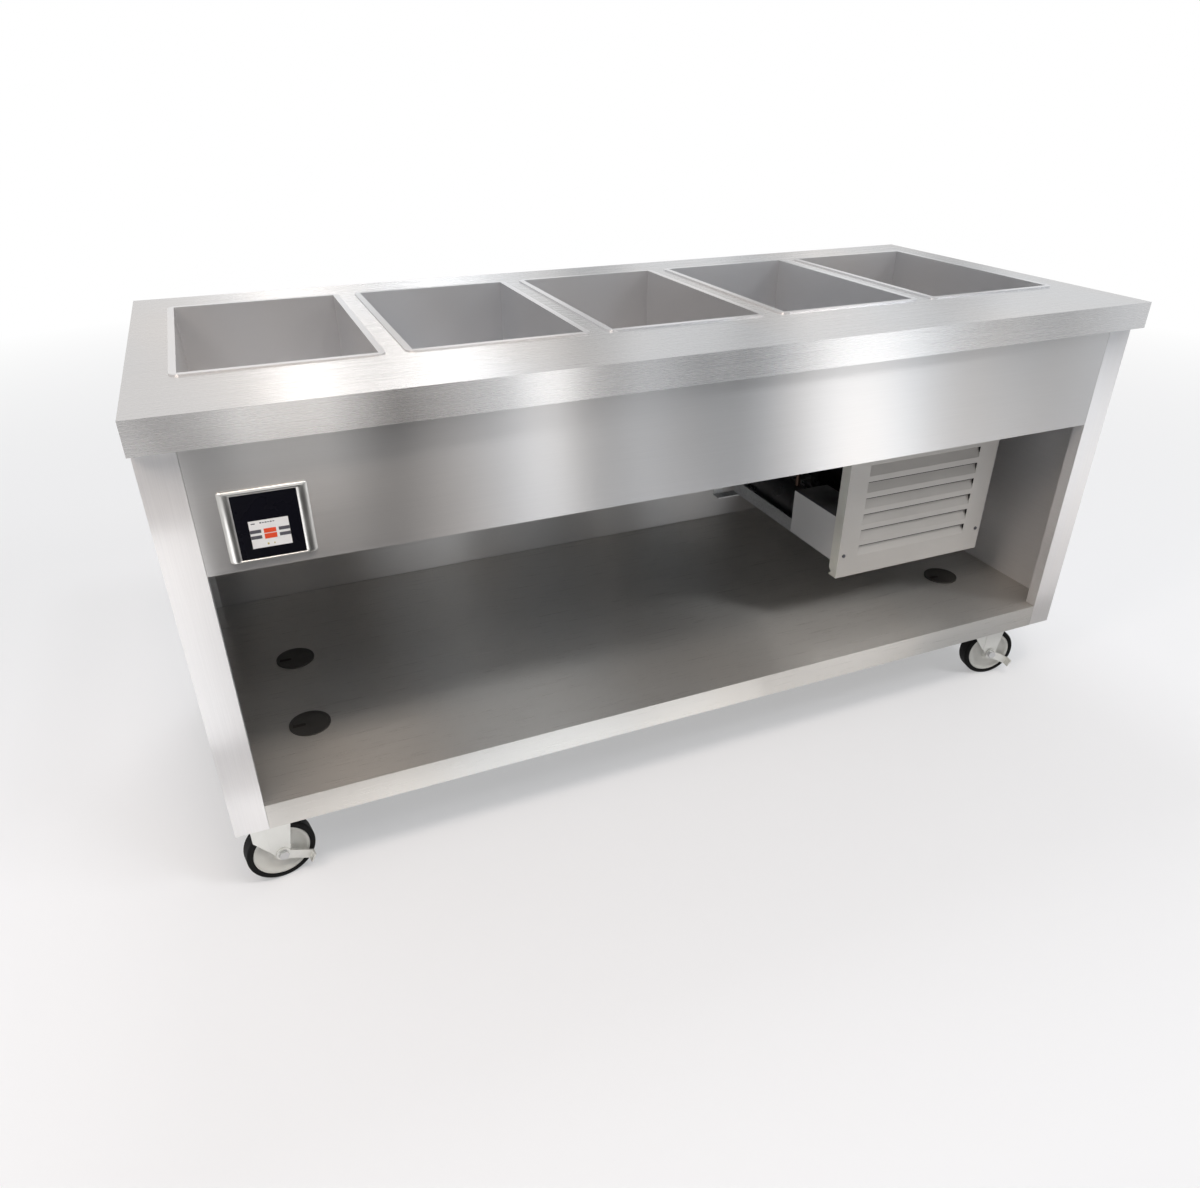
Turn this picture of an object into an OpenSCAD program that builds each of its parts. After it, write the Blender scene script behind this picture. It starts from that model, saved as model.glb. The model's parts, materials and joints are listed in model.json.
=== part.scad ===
// Mobile salad bar: a five-well stainless counter on swivel casters, with a
// refrigeration unit hung under its right half.
// Origin: floor level, in the middle of the counter. +X runs to the operator's
// right, -Y is the operator's side and +Z is up. All sizes are in millimetres.

/* [Counter] */
// Length of the counter top
top_l = 1880; // [1780:10:2200]
// Depth of the counter top
top_d = 806; // [780:1:900]
// Height of the counter surface above the floor
top_h = 914; // [850:1:960]
// Height of the turned-down edge
edge_h = 51; // [40:1:60]
// Sheet of the counter top
top_t = 2.5; // [1.5:0.1:3]
// Inward hem at the foot of the front and back edges
edge_hem = 12; // [8:1:16]

/* [Body] */
// Sheet of the panels and the shelf
sheet_t = 1.5; // [1:0.1:2]
// Overhang of the counter top over the operator's side
over_front = 27; // [20:1:40]
// Overhang of the counter top over the back panel
over_back = 22; // [16:1:24]
// Width of the leg face that each end panel turns forward
leg_w = 57; // [50:1:70]
// Depth of the leg's return
leg_return = 26; // [20:1:30]
// Width of the flanges that join one panel to the next
flange_w = 25; // [15:1:30]
// Visible height of the front apron below the counter edge
apron_drop = 205; // [190:1:210]
// Seam between the apron or the shelf lip and the legs
seam = 0.5; // [0.2:0.1:1]

/* [Shelf] */
// Height of the body's lower edge above the floor
body_z = 154; // [150:1:170]
// Height of the shelf lip
lip_h = 52; // [45:1:60]
// Inward hem at the foot of the lip
lip_hem = 10; // [8:1:11]
// Width of the two channels that carry the casters
channel_w = 62; // [60:1:62]
// Sheet of the channels
channel_t = 2.5; // [2:0.1:3]

/* [Wells] */
// Number of wells, which the node names repeat
well_count = 5; // [5:1:5]
// Distance from the counter's end to the first well
well_end = 75; // [72:1:90]
// Web of the counter top between one well and the next
well_gap = 55; // [48:1:60]
// Inside length of a well, front to back
well_l = 490; // [480:1:500]
// Depth of a well below the counter surface
well_depth = 203; // [180:1:205]
// How far the wells sit behind the middle of the counter
well_back = 43; // [30:1:45]
// Sheet of the wells
well_t = 1.2; // [1:0.1:1.6]
// Width of the raised rim
rim_w = 11.5; // [9:0.5:14]
// Height of the raised rim
rim_h = 3; // [2:0.5:4]
// Outer corner radius of the rim
rim_r = 16; // [10:1:20]
// Insulation beside the wells
insul_side = 30; // [25:1:32]
// Insulation under the wells
insul_under = 38; // [30:1:38]
// Sheet of the casing round the insulation
casing_t = 1; // [0.8:0.1:1.5]

/* [Drains] */
// Outer radius of a drain tail
drain_r = 16.6; // [14:0.1:18]
// Wall of the drain tails and pipes
pipe_wall = 3.2; // [2:0.1:4]
// Radius of the strainer flange on a well floor
drain_flange_r = 32; // [26:1:36]
// Drop from the casing to the middle of the drain manifold
manifold_drop = 28; // [28:1:32]
// Outer radius of the outlet pipe
outlet_r = 13.35; // [12:0.05:15]
// Distance of the outlet's end behind the counter's front edge
outlet_back = 103; // [90:1:120]
// Length of the valve lever
lever_l = 90; // [60:1:100]

/* [Grommets] */
// Outer radius of a grommet's flange
grommet_r = 39.5; // [38:0.5:42]
// Radius of the hole in the shelf
grommet_hole_r = 36; // [34:0.5:36]
// Distance of the grommets from the counter's ends
grommet_end = 163; // [162:1:200]
// Distance of the front grommets behind the legs' front
grommet_in = 208; // [180:1:220]
// Distance from the front grommets to the back ones
grommet_row = 248; // [220:1:280]
// Width of the cord slot in a cap
slot_w = 10; // [8:1:14]
// Length of the cord slot, from the cap's rim inward
slot_l = 26; // [20:1:30]

/* [Casters] */
// Wheel diameter
wheel_d = 125; // [115:1:125]
// Width of the tread
tread_w = 32; // [26:1:34]
// Radial thickness of the tyre
tyre_t = 10.5; // [8:0.5:14]
// Distance of the axle behind the swivel axis
caster_trail = 24; // [20:1:26]
// Distance of the swivel axes from the counter's ends
caster_end = 90; // [89:1:92]
// Distance of the swivel axes from the counter's front and back edges
caster_side = 83; // [82:1:100]
// Radius of the axle bolt
axle_r = 5; // [4:0.5:6]
// Radius of the swivel pin
kingpin_r = 6; // [5:0.5:7]
// Radial clearance of pins and shafts in their bores
run_clear = 0.05; // [0.02:0.01:0.08]
// Width of a caster's top plate, along the counter
plate_w = 60; // [58:1:62]
// Length of a caster's top plate, across the counter
plate_l = 92; // [88:1:92]
// Spacing of the plate bolts, along the counter
bolt_dx = 42; // [40:1:43]
// Spacing of the plate bolts, across the counter
bolt_dy = 73; // [70:1:74]
// Shank radius of the plate bolts
bolt_r = 4; // [3:0.5:4]
// Reach of the brake lever from the axle
brake_reach = 56; // [50:1:60]
// Slope of a released brake lever below level, in degrees
brake_slope = 28; // [20:1:32]

/* [Controller] */
// Width of the controller's bezel
bezel_w = 126; // [120:1:130]
// Height of the controller's bezel
bezel_h = 115; // [112:1:118]
// Middle of the bezel from the counter's left end
bezel_x = 159; // [130:1:180]
// Middle of the bezel above the apron's lower edge
bezel_z = 72; // [66:1:90]
// Width of the black face
face_w = 93; // [86:1:96]
// Height of the black face
face_h = 102; // [100:1:104]
// Width of the display
display_w = 56.5; // [50:0.5:60]
// Height of the display
display_h = 44; // [40:1:46]

/* [Refrigeration unit] */
// Distance of the louvred panel from the counter's right end
unit_end = 157; // [152:1:167]
// Width of the louvred panel
unit_w = 403; // [400:1:410]
// How far the louvred panel stands behind the legs
unit_back = 126; // [110:1:130]
// Distance of the louvred panel's lower edge below the apron's lower edge
unit_drop = 333; // [331:1:342]
// Height of the louvred panel
panel_h = 315; // [312:1:318]
// Depth of the panel's side flanges
panel_flange = 28; // [24:1:30]
// Height of the tray's underside above the panel's lower edge
tray_up = 33; // [30:1:36]
// Length of the tray, front to back
tray_l = 457; // [455:1:460]
// Height of the tray's sides
tray_h = 33; // [28:1:36]
// Number of louvres
louvre_n = 6; // [4:1:6]
// Distance from one louvre to the next
louvre_pitch = 38; // [36:1:38]
// Length of a louvre
louvre_l = 300; // [280:1:304]
// Height of a louvre
louvre_h = 24; // [20:1:26]
// Depth that a louvre blade is pushed in
louvre_in = 8; // [6:1:10]
// Radius of the fan blades
fan_r = 98; // [90:1:100]
// Distance of the compressor's middle from the louvred panel's left side
compressor_in = 260; // [250:1:270]
// Radius of the compressor
compressor_r = 78; // [70:1:80]
// Radius of the liquid receiver
receiver_r = 40; // [34:1:41]
// Radius of the evaporator tubes
tube_r = 4.75; // [4:0.25:4.75]
// Radius of the header pipes
header_r = 5.5; // [5:0.1:5.6]
// Distance of the cord gland from the right end panel's outer face
gland_end = 78; // [60:1:100]
// Distance of the cord gland below the counter surface
gland_drop = 214; // [180:1:240]

/* [Hidden] */

$fn = 64;
eps = 0.01;

// Planes of the counter and the body
front_y = -top_d / 2;
leg_y = front_y + over_front;
back_y = top_d / 2 - over_back;
panel_in_y = back_y - sheet_t;
end_x = top_l / 2 - top_t;
plate_z = top_h - top_t;
shelf_z = body_z + lip_h;
apron_z = top_h - edge_h - apron_drop;
leg_in_x = end_x - leg_w;

// Clearance between pieces that are set into each other
slip = 0.3;

// Heights of the wells, their insulation and casing
well_floor_z = top_h - well_depth;
insul_z = well_floor_z - well_t - insul_under;
casing_z = insul_z - casing_t;
manifold_z = casing_z - manifold_drop;
well_y = well_back;
well_w = (top_l - 2 * well_end - (well_count - 1) * well_gap) / well_count;
well_pitch = well_w + well_gap;
well_out_w = well_w + 2 * well_t;
well_out_l = well_l + 2 * well_t;
insul_l = (well_count - 1) * well_pitch + well_out_w + 2 * insul_side;
insul_d = well_out_l + 2 * insul_side;
casing_l = insul_l + 2 * (slip + casing_t);
casing_d = insul_d + 2 * (slip + casing_t);
casing_flange = 12;
flange_t = 2;
nut_h = 6;
nut_rim = 7;

// Places along the drain line
manifold_r = drain_r + slip;
branch_x = -1.5 * well_pitch;
outlet_y = front_y + outlet_back;
valve_l = 58;
valve_r = 19;
valve_y = outlet_y + 42;
valve_socket = 14;
stem_r = 4;
stem_y = valve_y + valve_l / 2;
boss_l = 11;
lever_gap = 6;
lever_t = 3;
lever_w = 16;
tail_in = 8;
socket_h = 17;

// Evaporator tubes under a well
run_pitch = 60;
run_n = 6;
run_edge = 51;
run_l = well_w - 2 * run_edge;
run_y0 = -(run_n - 1) / 2 * run_pitch;
tube_z = well_floor_z - well_t - slip - tube_r;
header_z = casing_z - header_r - 1.5;
tube_clear = 0.5;
elbow_extra = 0.4;
stub_in = 8;
stub_x = -run_l / 2 + stub_in;
stub_r = tube_r - 0.5;

// Places of the grommets
grommet_x = top_l / 2 - grommet_end;
grommet_front_y = leg_y + grommet_in;
grommet_back_y = grommet_front_y + grommet_row;
grommet_t = 2.5;
grommet_h = 17;
cap_t = 4;
cap_drop = 2;

// Caster places, heights and widths
caster_x = top_l / 2 - caster_end;
caster_y = top_d / 2 - caster_side;
axle_z = wheel_d / 2;
plate_t = 4;
cup_h = 10;
cup_r = 25;
cup_z = body_z - plate_t - cup_h;
swivel_gap = 0.3;
crown_t = 5;
crown_z = cup_z - swivel_gap - crown_t;
fork_gap = 3;
fork_t = 3;
fork_in = tread_w / 2 + fork_gap;
fork_out = fork_in + fork_t;
brake_t = 3;
bolt_clear = 0.25;
bolt_head_r = 6.5;
bolt_head_h = 5;
crown_r = 24;
eye_r = 13;
caster_turn = [10, -13, 12, -15];

// Places of the controller
bezel_mid_x = -top_l / 2 + bezel_x;
bezel_mid_z = apron_z + bezel_z;
face_mid_z = bezel_mid_z - 2.5;
face_t = 3;
display_t = 1.2;
display_mid_z = bezel_mid_z - 15.5;
box_d = 44;
hole_edge = 8;
conduit_r = 3;
conduit_in = 36;
conduit_out = 30;
conduit_drop = 9;
conduit_side = 30;

// Places of the refrigeration unit
unit_front_y = leg_y + unit_back;
unit_z = apron_z - unit_drop;
unit_right_x = top_l / 2 - unit_end;
unit_x = unit_right_x - unit_w;
unit_mid_x = unit_x + unit_w / 2;
tray_z = unit_z + tray_up;
tray_floor_z = tray_z + sheet_t;
tray_x = unit_x + sheet_t + slip;
tray_w = unit_w - 2 * (sheet_t + slip);
tray_y = unit_front_y + sheet_t + slip;
tray_end_y = tray_y + tray_l;
hanger_t = 3;
hanger_w = 15;
post_in = 4;
post_x = [tray_x + post_in, tray_x + tray_w - post_in - hanger_w];
post_y = tray_y + sheet_t + slip;
rear_hanger_w = 25;
box_x = tray_x;
box_w = 90;
box_y = unit_front_y + 30;
box_l = 161;
box_h = 105;
coil_x = box_x + box_w + 12;
coil_w = 258;
coil_y = unit_front_y + 12;
coil_d = 34;
coil_h = 236;
fan_x = coil_x + coil_w / 2;
fan_z = tray_floor_z + coil_h / 2 + 4;
shroud_y = coil_y + coil_d + 1;
fan_y = shroud_y + 14;
blade_d = 24;
motor_y = fan_y + blade_d + 8;
motor_l = 68;
shaft_r = 4;
shaft_in = 30;
line_r = 3;
compressor_x = unit_x + compressor_in;
compressor_y = tray_end_y - 109;
compressor_h = 185;
compressor_z = tray_floor_z + 16;
receiver_x = tray_x + 50;
receiver_y = box_y + box_l + 12;
receiver_l = 230;
receiver_z = tray_floor_z + receiver_r + 6;
screw_in = 13.6;
screw_up = 54;
screw_r = 2;
screw_x = [unit_x + screw_in, unit_right_x - screw_in];
screw_z = unit_z + screw_up;
louvre_first = 72.5;

// Place and sizes of the cord gland
gland_x = end_x - gland_end;
gland_z = top_h - gland_drop;
cord_r = 5.5;
gland_wall = 4.4;

// Middle of well i, counted from the left
function well_x(i) = (i - (well_count + 1) / 2) * well_pitch;

// Place of caster i: 1 and 2 are the front ones, 1 and 3 the left ones
function caster_pos(i) = [(i % 2 == 1 ? -1 : 1) * caster_x, (i <= 2 ? -1 : 1) * caster_y, 0];

// Place of grommet i: 1 and 2 are the front ones, 1 and 3 the left ones
function grommet_pos(i) = [
  (i % 2 == 1 ? -1 : 1) * grommet_x,
  i <= 2 ? grommet_front_y : grommet_back_y,
  shelf_z
];

// Box given by its low corner and its high corner
module span(lo, hi) {
  translate(lo) cube(hi - lo);
}

// Rectangle with round corners, centred
module round_rect(w, d, r) {
  square([w - 2 * r, d], center = true);
  square([w, d - 2 * r], center = true);
  for (x = [-1, 1], y = [-1, 1])
    translate([x * (w / 2 - r), y * (d / 2 - r)]) circle(r);
}

// Round bar from point a to point b
module rod(a, b, r) {
  d = b - a;
  l = norm(d);
  translate(a)
    rotate([0, acos(d.z / l), atan2(d.y, d.x)])
      cylinder(h = l, r = r);
}

// Pipe that follows a list of points, with a slightly thicker elbow at each corner
module pipe_run(points, r) {
  for (i = [0 : len(points) - 2]) rod(points[i], points[i + 1], r);
  for (i = [1 : len(points) - 2]) translate(points[i]) sphere(r + elbow_extra);
}

// Places its children in caster i's own frame, turned to its rest heading
module at_caster(i) {
  translate(caster_pos(i)) rotate([0, 0, caster_turn[i - 1]]) children();
}

// Places its children on caster i's axle, with +Z along the axle to the back
module at_axle(i) {
  at_caster(i) translate([-caster_trail, 0, axle_z]) rotate([-90, 0, 0]) children();
}

module countertop() {
  color("gainsboro") difference() {
    union() {
      span([-top_l / 2, front_y, plate_z], [top_l / 2, -front_y, top_h]);
      difference() {
        span([-top_l / 2, front_y, top_h - edge_h], [top_l / 2, -front_y, top_h - top_t / 2]);
        span([-end_x, front_y + top_t, top_h - edge_h - 1], [end_x, -front_y - top_t, plate_z]);
      }
      for (y = [front_y + top_t - eps, -front_y - top_t - edge_hem])
        span([-end_x - eps, y, top_h - edge_h], [end_x + eps, y + edge_hem + eps, top_h - edge_h + top_t]);
    }
    for (i = [1 : well_count])
      translate([well_x(i), well_y, top_h])
        cube([well_out_w + 1, well_out_l + 1, 4 * top_t], center = true);
  }
}

module well(i) {
  color("silver") translate([well_x(i), well_y, 0]) difference() {
    union() {
      translate([0, 0, top_h])
        linear_extrude(rim_h) round_rect(well_w + 2 * rim_w, well_l + 2 * rim_w, rim_r);
      translate([-well_out_w / 2, -well_out_l / 2, well_floor_z - well_t])
        cube([well_out_w, well_out_l, well_depth + well_t + rim_h / 2]);
    }
    translate([-well_w / 2, -well_l / 2, well_floor_z])
      cube([well_w, well_l, well_depth + 2 * rim_h]);
    translate([0, 0, well_floor_z - 2 * well_t]) cylinder(h = 4 * well_t, r = drain_r + slip);
  }
}

module well_insulation() {
  color("khaki") difference() {
    translate([-insul_l / 2, well_y - insul_d / 2, insul_z])
      cube([insul_l, insul_d, plate_z - slip - insul_z]);
    for (i = [1 : well_count]) translate([well_x(i), well_y, 0]) {
      translate([-well_out_w / 2 - slip, -well_out_l / 2 - slip, well_floor_z - well_t - slip])
        cube([well_out_w + 2 * slip, well_out_l + 2 * slip, well_depth + 2]);
      recess_w = run_l + run_pitch + 4 * tube_r;
      recess_l = (run_n - 1) * run_pitch + 4 * tube_r;
      translate([-recess_w / 2, -recess_l / 2, tube_z - tube_r - slip])
        cube([recess_w, recess_l, 3 * tube_r]);
      translate([0, 0, insul_z - 1]) cylinder(h = insul_under + 4, r = drain_r + tube_clear);
      for (y = [run_y0, -run_y0])
        translate([stub_x, y, insul_z - 1]) cylinder(h = insul_under, r = stub_r + tube_clear);
    }
  }
}

module well_casing() {
  color("lightslategray") difference() {
    union() {
      translate([-casing_l / 2, well_y - casing_d / 2, casing_z])
        cube([casing_l, casing_d, plate_z - casing_z]);
      translate([-casing_l / 2 - casing_flange, well_y - casing_d / 2 - casing_flange,
                 plate_z - casing_t])
        cube([casing_l + 2 * casing_flange, casing_d + 2 * casing_flange, casing_t]);
    }
    translate([-insul_l / 2 - slip, well_y - insul_d / 2 - slip, insul_z])
      cube([insul_l + 2 * slip, insul_d + 2 * slip, plate_z]);
    for (i = [1 : well_count]) translate([well_x(i), well_y, casing_z - 1]) {
      cylinder(h = 4, r = drain_r + tube_clear);
      for (y = [run_y0, -run_y0])
        translate([stub_x, y, 0]) cylinder(h = 4, r = stub_r + tube_clear);
    }
  }
}

// Strainer flange, tail pipe and lock nut of each well, with a cross in its mouth
module well_drains() {
  color("silver") for (i = [1 : well_count]) translate([well_x(i), well_y, 0]) {
    difference() {
      union() {
        translate([0, 0, well_floor_z]) cylinder(h = flange_t, r = drain_flange_r);
        translate([0, 0, manifold_z + tail_in])
          cylinder(h = well_floor_z + 1 - manifold_z - tail_in, r = drain_r);
        translate([0, 0, casing_z - nut_h]) cylinder(h = nut_h, r = drain_r + nut_rim, $fn = 6);
      }
      translate([0, 0, manifold_z]) cylinder(h = well_depth, r = drain_r - pipe_wall);
    }
    for (a = [0, 90])
      rotate([0, 0, a])
        translate([-drain_r + 1, -1, well_floor_z - 2]) cube([2 * drain_r - 2, flange_t, 3]);
  }
}

module drain_manifold() {
  stub_end = 30;
  half = (well_count - 1) / 2 * well_pitch + stub_end;
  color("gray") difference() {
    union() {
      rod([-half, well_y, manifold_z], [half, well_y, manifold_z], manifold_r);
      for (i = [1 : well_count])
        translate([well_x(i), well_y, manifold_z]) cylinder(h = socket_h, r = manifold_r + 4);
      rod([branch_x, well_y, manifold_z],
          [branch_x, valve_y + valve_l - valve_socket, manifold_z], outlet_r);
    }
    rod([-half + pipe_wall, well_y, manifold_z], [half - pipe_wall, well_y, manifold_z],
        manifold_r - pipe_wall);
    for (i = [1 : well_count])
      translate([well_x(i), well_y, manifold_z]) cylinder(h = socket_h + 1, r = drain_r + slip);
    rod([branch_x, well_y, manifold_z],
        [branch_x, valve_y, manifold_z], outlet_r - pipe_wall);
  }
}

module drain_valve() {
  bore_r = outlet_r - pipe_wall;
  color("goldenrod") translate([branch_x, 0, manifold_z]) difference() {
    union() {
      rod([0, outlet_y, 0], [0, valve_y + 1, 0], outlet_r);
      rod([0, valve_y, 0], [0, valve_y + valve_l, 0], valve_r);
      rod([0, stem_y, -valve_r - boss_l], [0, stem_y, 0], 2 * stem_r);
    }
    rod([0, outlet_y - 1, 0], [0, valve_y + valve_l, 0], bore_r);
    rod([0, valve_y + valve_l - valve_socket, 0], [0, valve_y + valve_l + 1, 0],
        outlet_r + slip);
    rod([0, stem_y, -valve_r - boss_l - 1], [0, stem_y, -bore_r + 1], stem_r + run_clear);
  }
}

// Lever of the drain valve, shown shut: across the pipe
module drain_lever() {
  plate_top = manifold_z - valve_r - boss_l - lever_gap;
  color("firebrick") translate([branch_x, stem_y, 0]) {
    translate([0, 0, plate_top - lever_t]) {
      cylinder(h = lever_t, r = 3 * stem_r);
      translate([0, -lever_w / 2, 0]) cube([lever_l, lever_w, lever_t]);
      translate([lever_l, 0, 0]) cylinder(h = lever_t, r = lever_w / 2);
    }
    translate([0, 0, plate_top - 1]) cylinder(h = lever_gap + boss_l + 2, r = stem_r);
  }
}

// End panel with its leg face, leg return, back flange and top flange; side is -1 or 1
module end_panel(side) {
  color("silver") mirror([side < 0 ? 1 : 0, 0, 0]) {
    span([end_x - sheet_t, leg_y, body_z], [end_x, panel_in_y, plate_z]);
    span([leg_in_x, leg_y, body_z], [end_x, leg_y + sheet_t, plate_z]);
    span([leg_in_x, leg_y, body_z], [leg_in_x + sheet_t, leg_y + leg_return, plate_z]);
    span([end_x - flange_w, panel_in_y - sheet_t, body_z], [end_x, panel_in_y, plate_z]);
    span([end_x - flange_w, leg_y, plate_z - sheet_t], [end_x, panel_in_y, plate_z]);
  }
}

module back_panel() {
  color("silver") difference() {
    span([-end_x, panel_in_y, body_z], [end_x, back_y, plate_z]);
    rod([gland_x, panel_in_y - 1, gland_z], [gland_x, back_y + 1, gland_z],
        cord_r + gland_wall + slip);
  }
}

module front_apron() {
  x = leg_in_x - seam;
  hole_w = face_w - hole_edge;
  hole_h = face_h - hole_edge;
  color("silver") difference() {
    union() {
      span([-x, leg_y, apron_z], [x, leg_y + sheet_t, plate_z]);
      for (z = [apron_z, plate_z - sheet_t])
        span([-x, leg_y, z], [x, leg_y + flange_w, z + sheet_t]);
      for (x0 = [-x, x - sheet_t])
        span([x0, leg_y, apron_z], [x0 + sheet_t, leg_y + flange_w, plate_z]);
    }
    span([bezel_mid_x - hole_w / 2, leg_y - 1, face_mid_z - hole_h / 2],
         [bezel_mid_x + hole_w / 2, leg_y + sheet_t + 1, face_mid_z + hole_h / 2]);
  }
}

module bottom_shelf() {
  lip_x = leg_in_x - seam;
  side_x = end_x - sheet_t;
  side_y = leg_y + leg_return + seam;
  rear_y = panel_in_y - sheet_t - slip;
  color("darkgray") difference() {
    union() {
      span([-lip_x, leg_y, shelf_z - sheet_t], [lip_x, rear_y, shelf_z]);
      span([-side_x, side_y, shelf_z - sheet_t], [side_x, rear_y, shelf_z]);
      span([-lip_x, leg_y, body_z], [lip_x, leg_y + sheet_t, shelf_z]);
      span([-lip_x, leg_y, body_z], [lip_x, leg_y + lip_hem, body_z + sheet_t]);
      span([-side_x, rear_y - sheet_t, body_z], [side_x, rear_y, shelf_z]);
      for (x0 = [-side_x, side_x - sheet_t])
        span([x0, side_y, body_z], [x0 + sheet_t, rear_y, shelf_z]);
    }
    for (i = [1 : 4])
      translate(grommet_pos(i) - [0, 0, 2 * sheet_t])
        cylinder(h = 4 * sheet_t, r = grommet_hole_r + tube_clear);
  }
}

module shelf_channels() {
  y0 = leg_y + lip_hem + seam;
  y1 = panel_in_y - 2 * sheet_t - lip_hem;
  color("gray") for (side = [-1, 1]) difference() {
    translate([side * caster_x - channel_w / 2, y0, body_z])
      cube([channel_w, y1 - y0, lip_h - sheet_t]);
    translate([side * caster_x - channel_w / 2 + channel_t, y0 - 1, body_z + channel_t])
      cube([channel_w - 2 * channel_t, y1 - y0 + 2, lip_h]);
    for (y = [-caster_y, caster_y], dx = [-1, 1], dy = [-1, 1])
      translate([side * caster_x + dx * bolt_dx / 2, y + dy * bolt_dy / 2, body_z - 1])
        cylinder(h = channel_t + 2, r = bolt_r + bolt_clear);
    leg_x = leg_in_x - slip;
    translate([side > 0 ? leg_x : -end_x, leg_y, body_z - 1])
      cube([end_x - leg_x, leg_return + slip, lip_h + 2]);
  }
}

// Ring of each grommet, with the ledge that its cap sits on
module grommet_rings() {
  color("dimgray") for (i = [1 : 4]) translate(grommet_pos(i)) difference() {
    union() {
      cylinder(h = grommet_t, r = grommet_r);
      translate([0, 0, 1 - grommet_h]) cylinder(h = grommet_h, r = grommet_hole_r);
    }
    translate([0, 0, -cap_drop]) cylinder(h = 2 * cap_t, r = grommet_hole_r - grommet_t);
    translate([0, 0, -grommet_h]) cylinder(h = grommet_h + cap_t, r = grommet_hole_r - 2 * grommet_t);
  }
}

// Cap with its radial cord slot, which points to the operator's left
module grommet_cap(i) {
  cap_r = grommet_hole_r - grommet_t - slip;
  low = -cap_drop - 1;
  color("dimgray") translate(grommet_pos(i)) difference() {
    translate([0, 0, -cap_drop]) cylinder(h = cap_t, r = cap_r);
    translate([-cap_r - 1, -slot_w / 2, low]) cube([slot_l + 1 - slot_w / 2, slot_w, cap_t + 2]);
    translate([-cap_r + slot_l - slot_w / 2, 0, low]) cylinder(h = cap_t + 2, r = slot_w / 2);
  }
}

// Top plate of each caster with its swivel cup
module caster_plates() {
  color("lightgray") for (i = [1 : 4]) translate(caster_pos(i)) difference() {
    union() {
      translate([-plate_w / 2, -plate_l / 2, body_z - plate_t]) cube([plate_w, plate_l, plate_t]);
      translate([0, 0, cup_z]) cylinder(h = cup_h + 1, r = cup_r);
    }
    translate([0, 0, cup_z - 1]) cylinder(h = cup_h + 3, r = kingpin_r + run_clear);
    for (dx = [-1, 1], dy = [-1, 1])
      translate([dx * bolt_dx / 2, dy * bolt_dy / 2, body_z - plate_t - 1])
        cylinder(h = plate_t + 2, r = bolt_r + bolt_clear);
  }
}

// Swivelling fork: crown, swivel pin and two side plates that narrow down to the axle,
// with a fold down their rear part
module caster_fork(i) {
  rear = 46;
  rear_up = 46;
  front = 24;
  front_drop = 7;
  foot_drop = 10;
  fold_in = 20;
  fold_t = 0.8;
  color("lightgray") at_caster(i) difference() {
    union() {
      translate([0, 0, crown_z]) cylinder(h = crown_t, r = crown_r);
      translate([-caster_trail - crown_r / 4, -fork_out, crown_z])
        cube([caster_trail + 1.25 * crown_r, 2 * fork_out, crown_t]);
      translate([0, 0, crown_z + 1]) cylinder(h = crown_t + cup_h, r = kingpin_r);
      for (y = [-fork_out, fork_in]) translate([0, y + fork_t, 0]) rotate([90, 0, 0])
        linear_extrude(fork_t) union() {
          polygon([
            [crown_r, crown_z + crown_t],
            [-caster_trail - rear, crown_z + crown_t],
            [-caster_trail - rear, axle_z + rear_up],
            [-caster_trail - eye_r / 2, axle_z - foot_drop],
            [-caster_trail + eye_r, axle_z],
            [-caster_trail + front, crown_z - front_drop],
            [crown_r, crown_z - front_drop]
          ]);
          translate([-caster_trail, axle_z]) circle(eye_r);
        }
    }
    translate([-caster_trail, -fork_out - 1, axle_z]) rotate([-90, 0, 0])
      cylinder(h = 2 * fork_out + 2, r = axle_r + run_clear);
    for (y = [-fork_out - 1, fork_out - fold_t])
      translate([-caster_trail - rear - 1, y, 0])
        cube([rear + 1 - fold_in, fold_t + 1, crown_z - slip]);
  }
}

module tyre(i) {
  crown = 5;
  inner = wheel_d / 2 - tyre_t;
  color([0.05, 0.05, 0.05]) at_axle(i) rotate_extrude($fn = 96) {
    translate([inner, -tread_w / 2]) square([tyre_t - crown, tread_w]);
    translate([inner, -tread_w / 2 + crown]) square([tyre_t, tread_w - 2 * crown]);
    for (y = [-1, 1])
      translate([wheel_d / 2 - crown, y * (tread_w / 2 - crown)]) circle(crown);
  }
}

module wheel_hub(i) {
  rim_out = wheel_d / 2 - tyre_t - slip;
  rim_t = 6;
  web_w = tread_w - 8;
  boss_t = 9;
  boss_gap = 0.5;
  bore_r = axle_r + run_clear;
  color("whitesmoke") at_axle(i) rotate_extrude($fn = 96) {
    translate([rim_out - rim_t, -tread_w / 2 + 1]) square([rim_t, tread_w - 2]);
    translate([bore_r, -web_w / 2]) square([rim_out - rim_t / 2 - bore_r, web_w]);
    translate([bore_r, -fork_in + boss_gap]) square([boss_t, 2 * (fork_in - boss_gap)]);
  }
}

// Axle bolt with its head at the front and its nut at the back
module axle(i) {
  head = 6;
  head_r = 9.5;
  front = fork_out + (i <= 2 ? brake_t + 2 * swivel_gap : 0);
  color("darkgray") at_axle(i) {
    translate([0, 0, -front]) cylinder(h = front + fork_out + head + 3, r = axle_r);
    translate([0, 0, -front - head]) cylinder(h = head, r = head_r, $fn = 6);
    translate([0, 0, fork_out]) cylinder(h = head, r = head_r, $fn = 6);
  }
}

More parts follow.
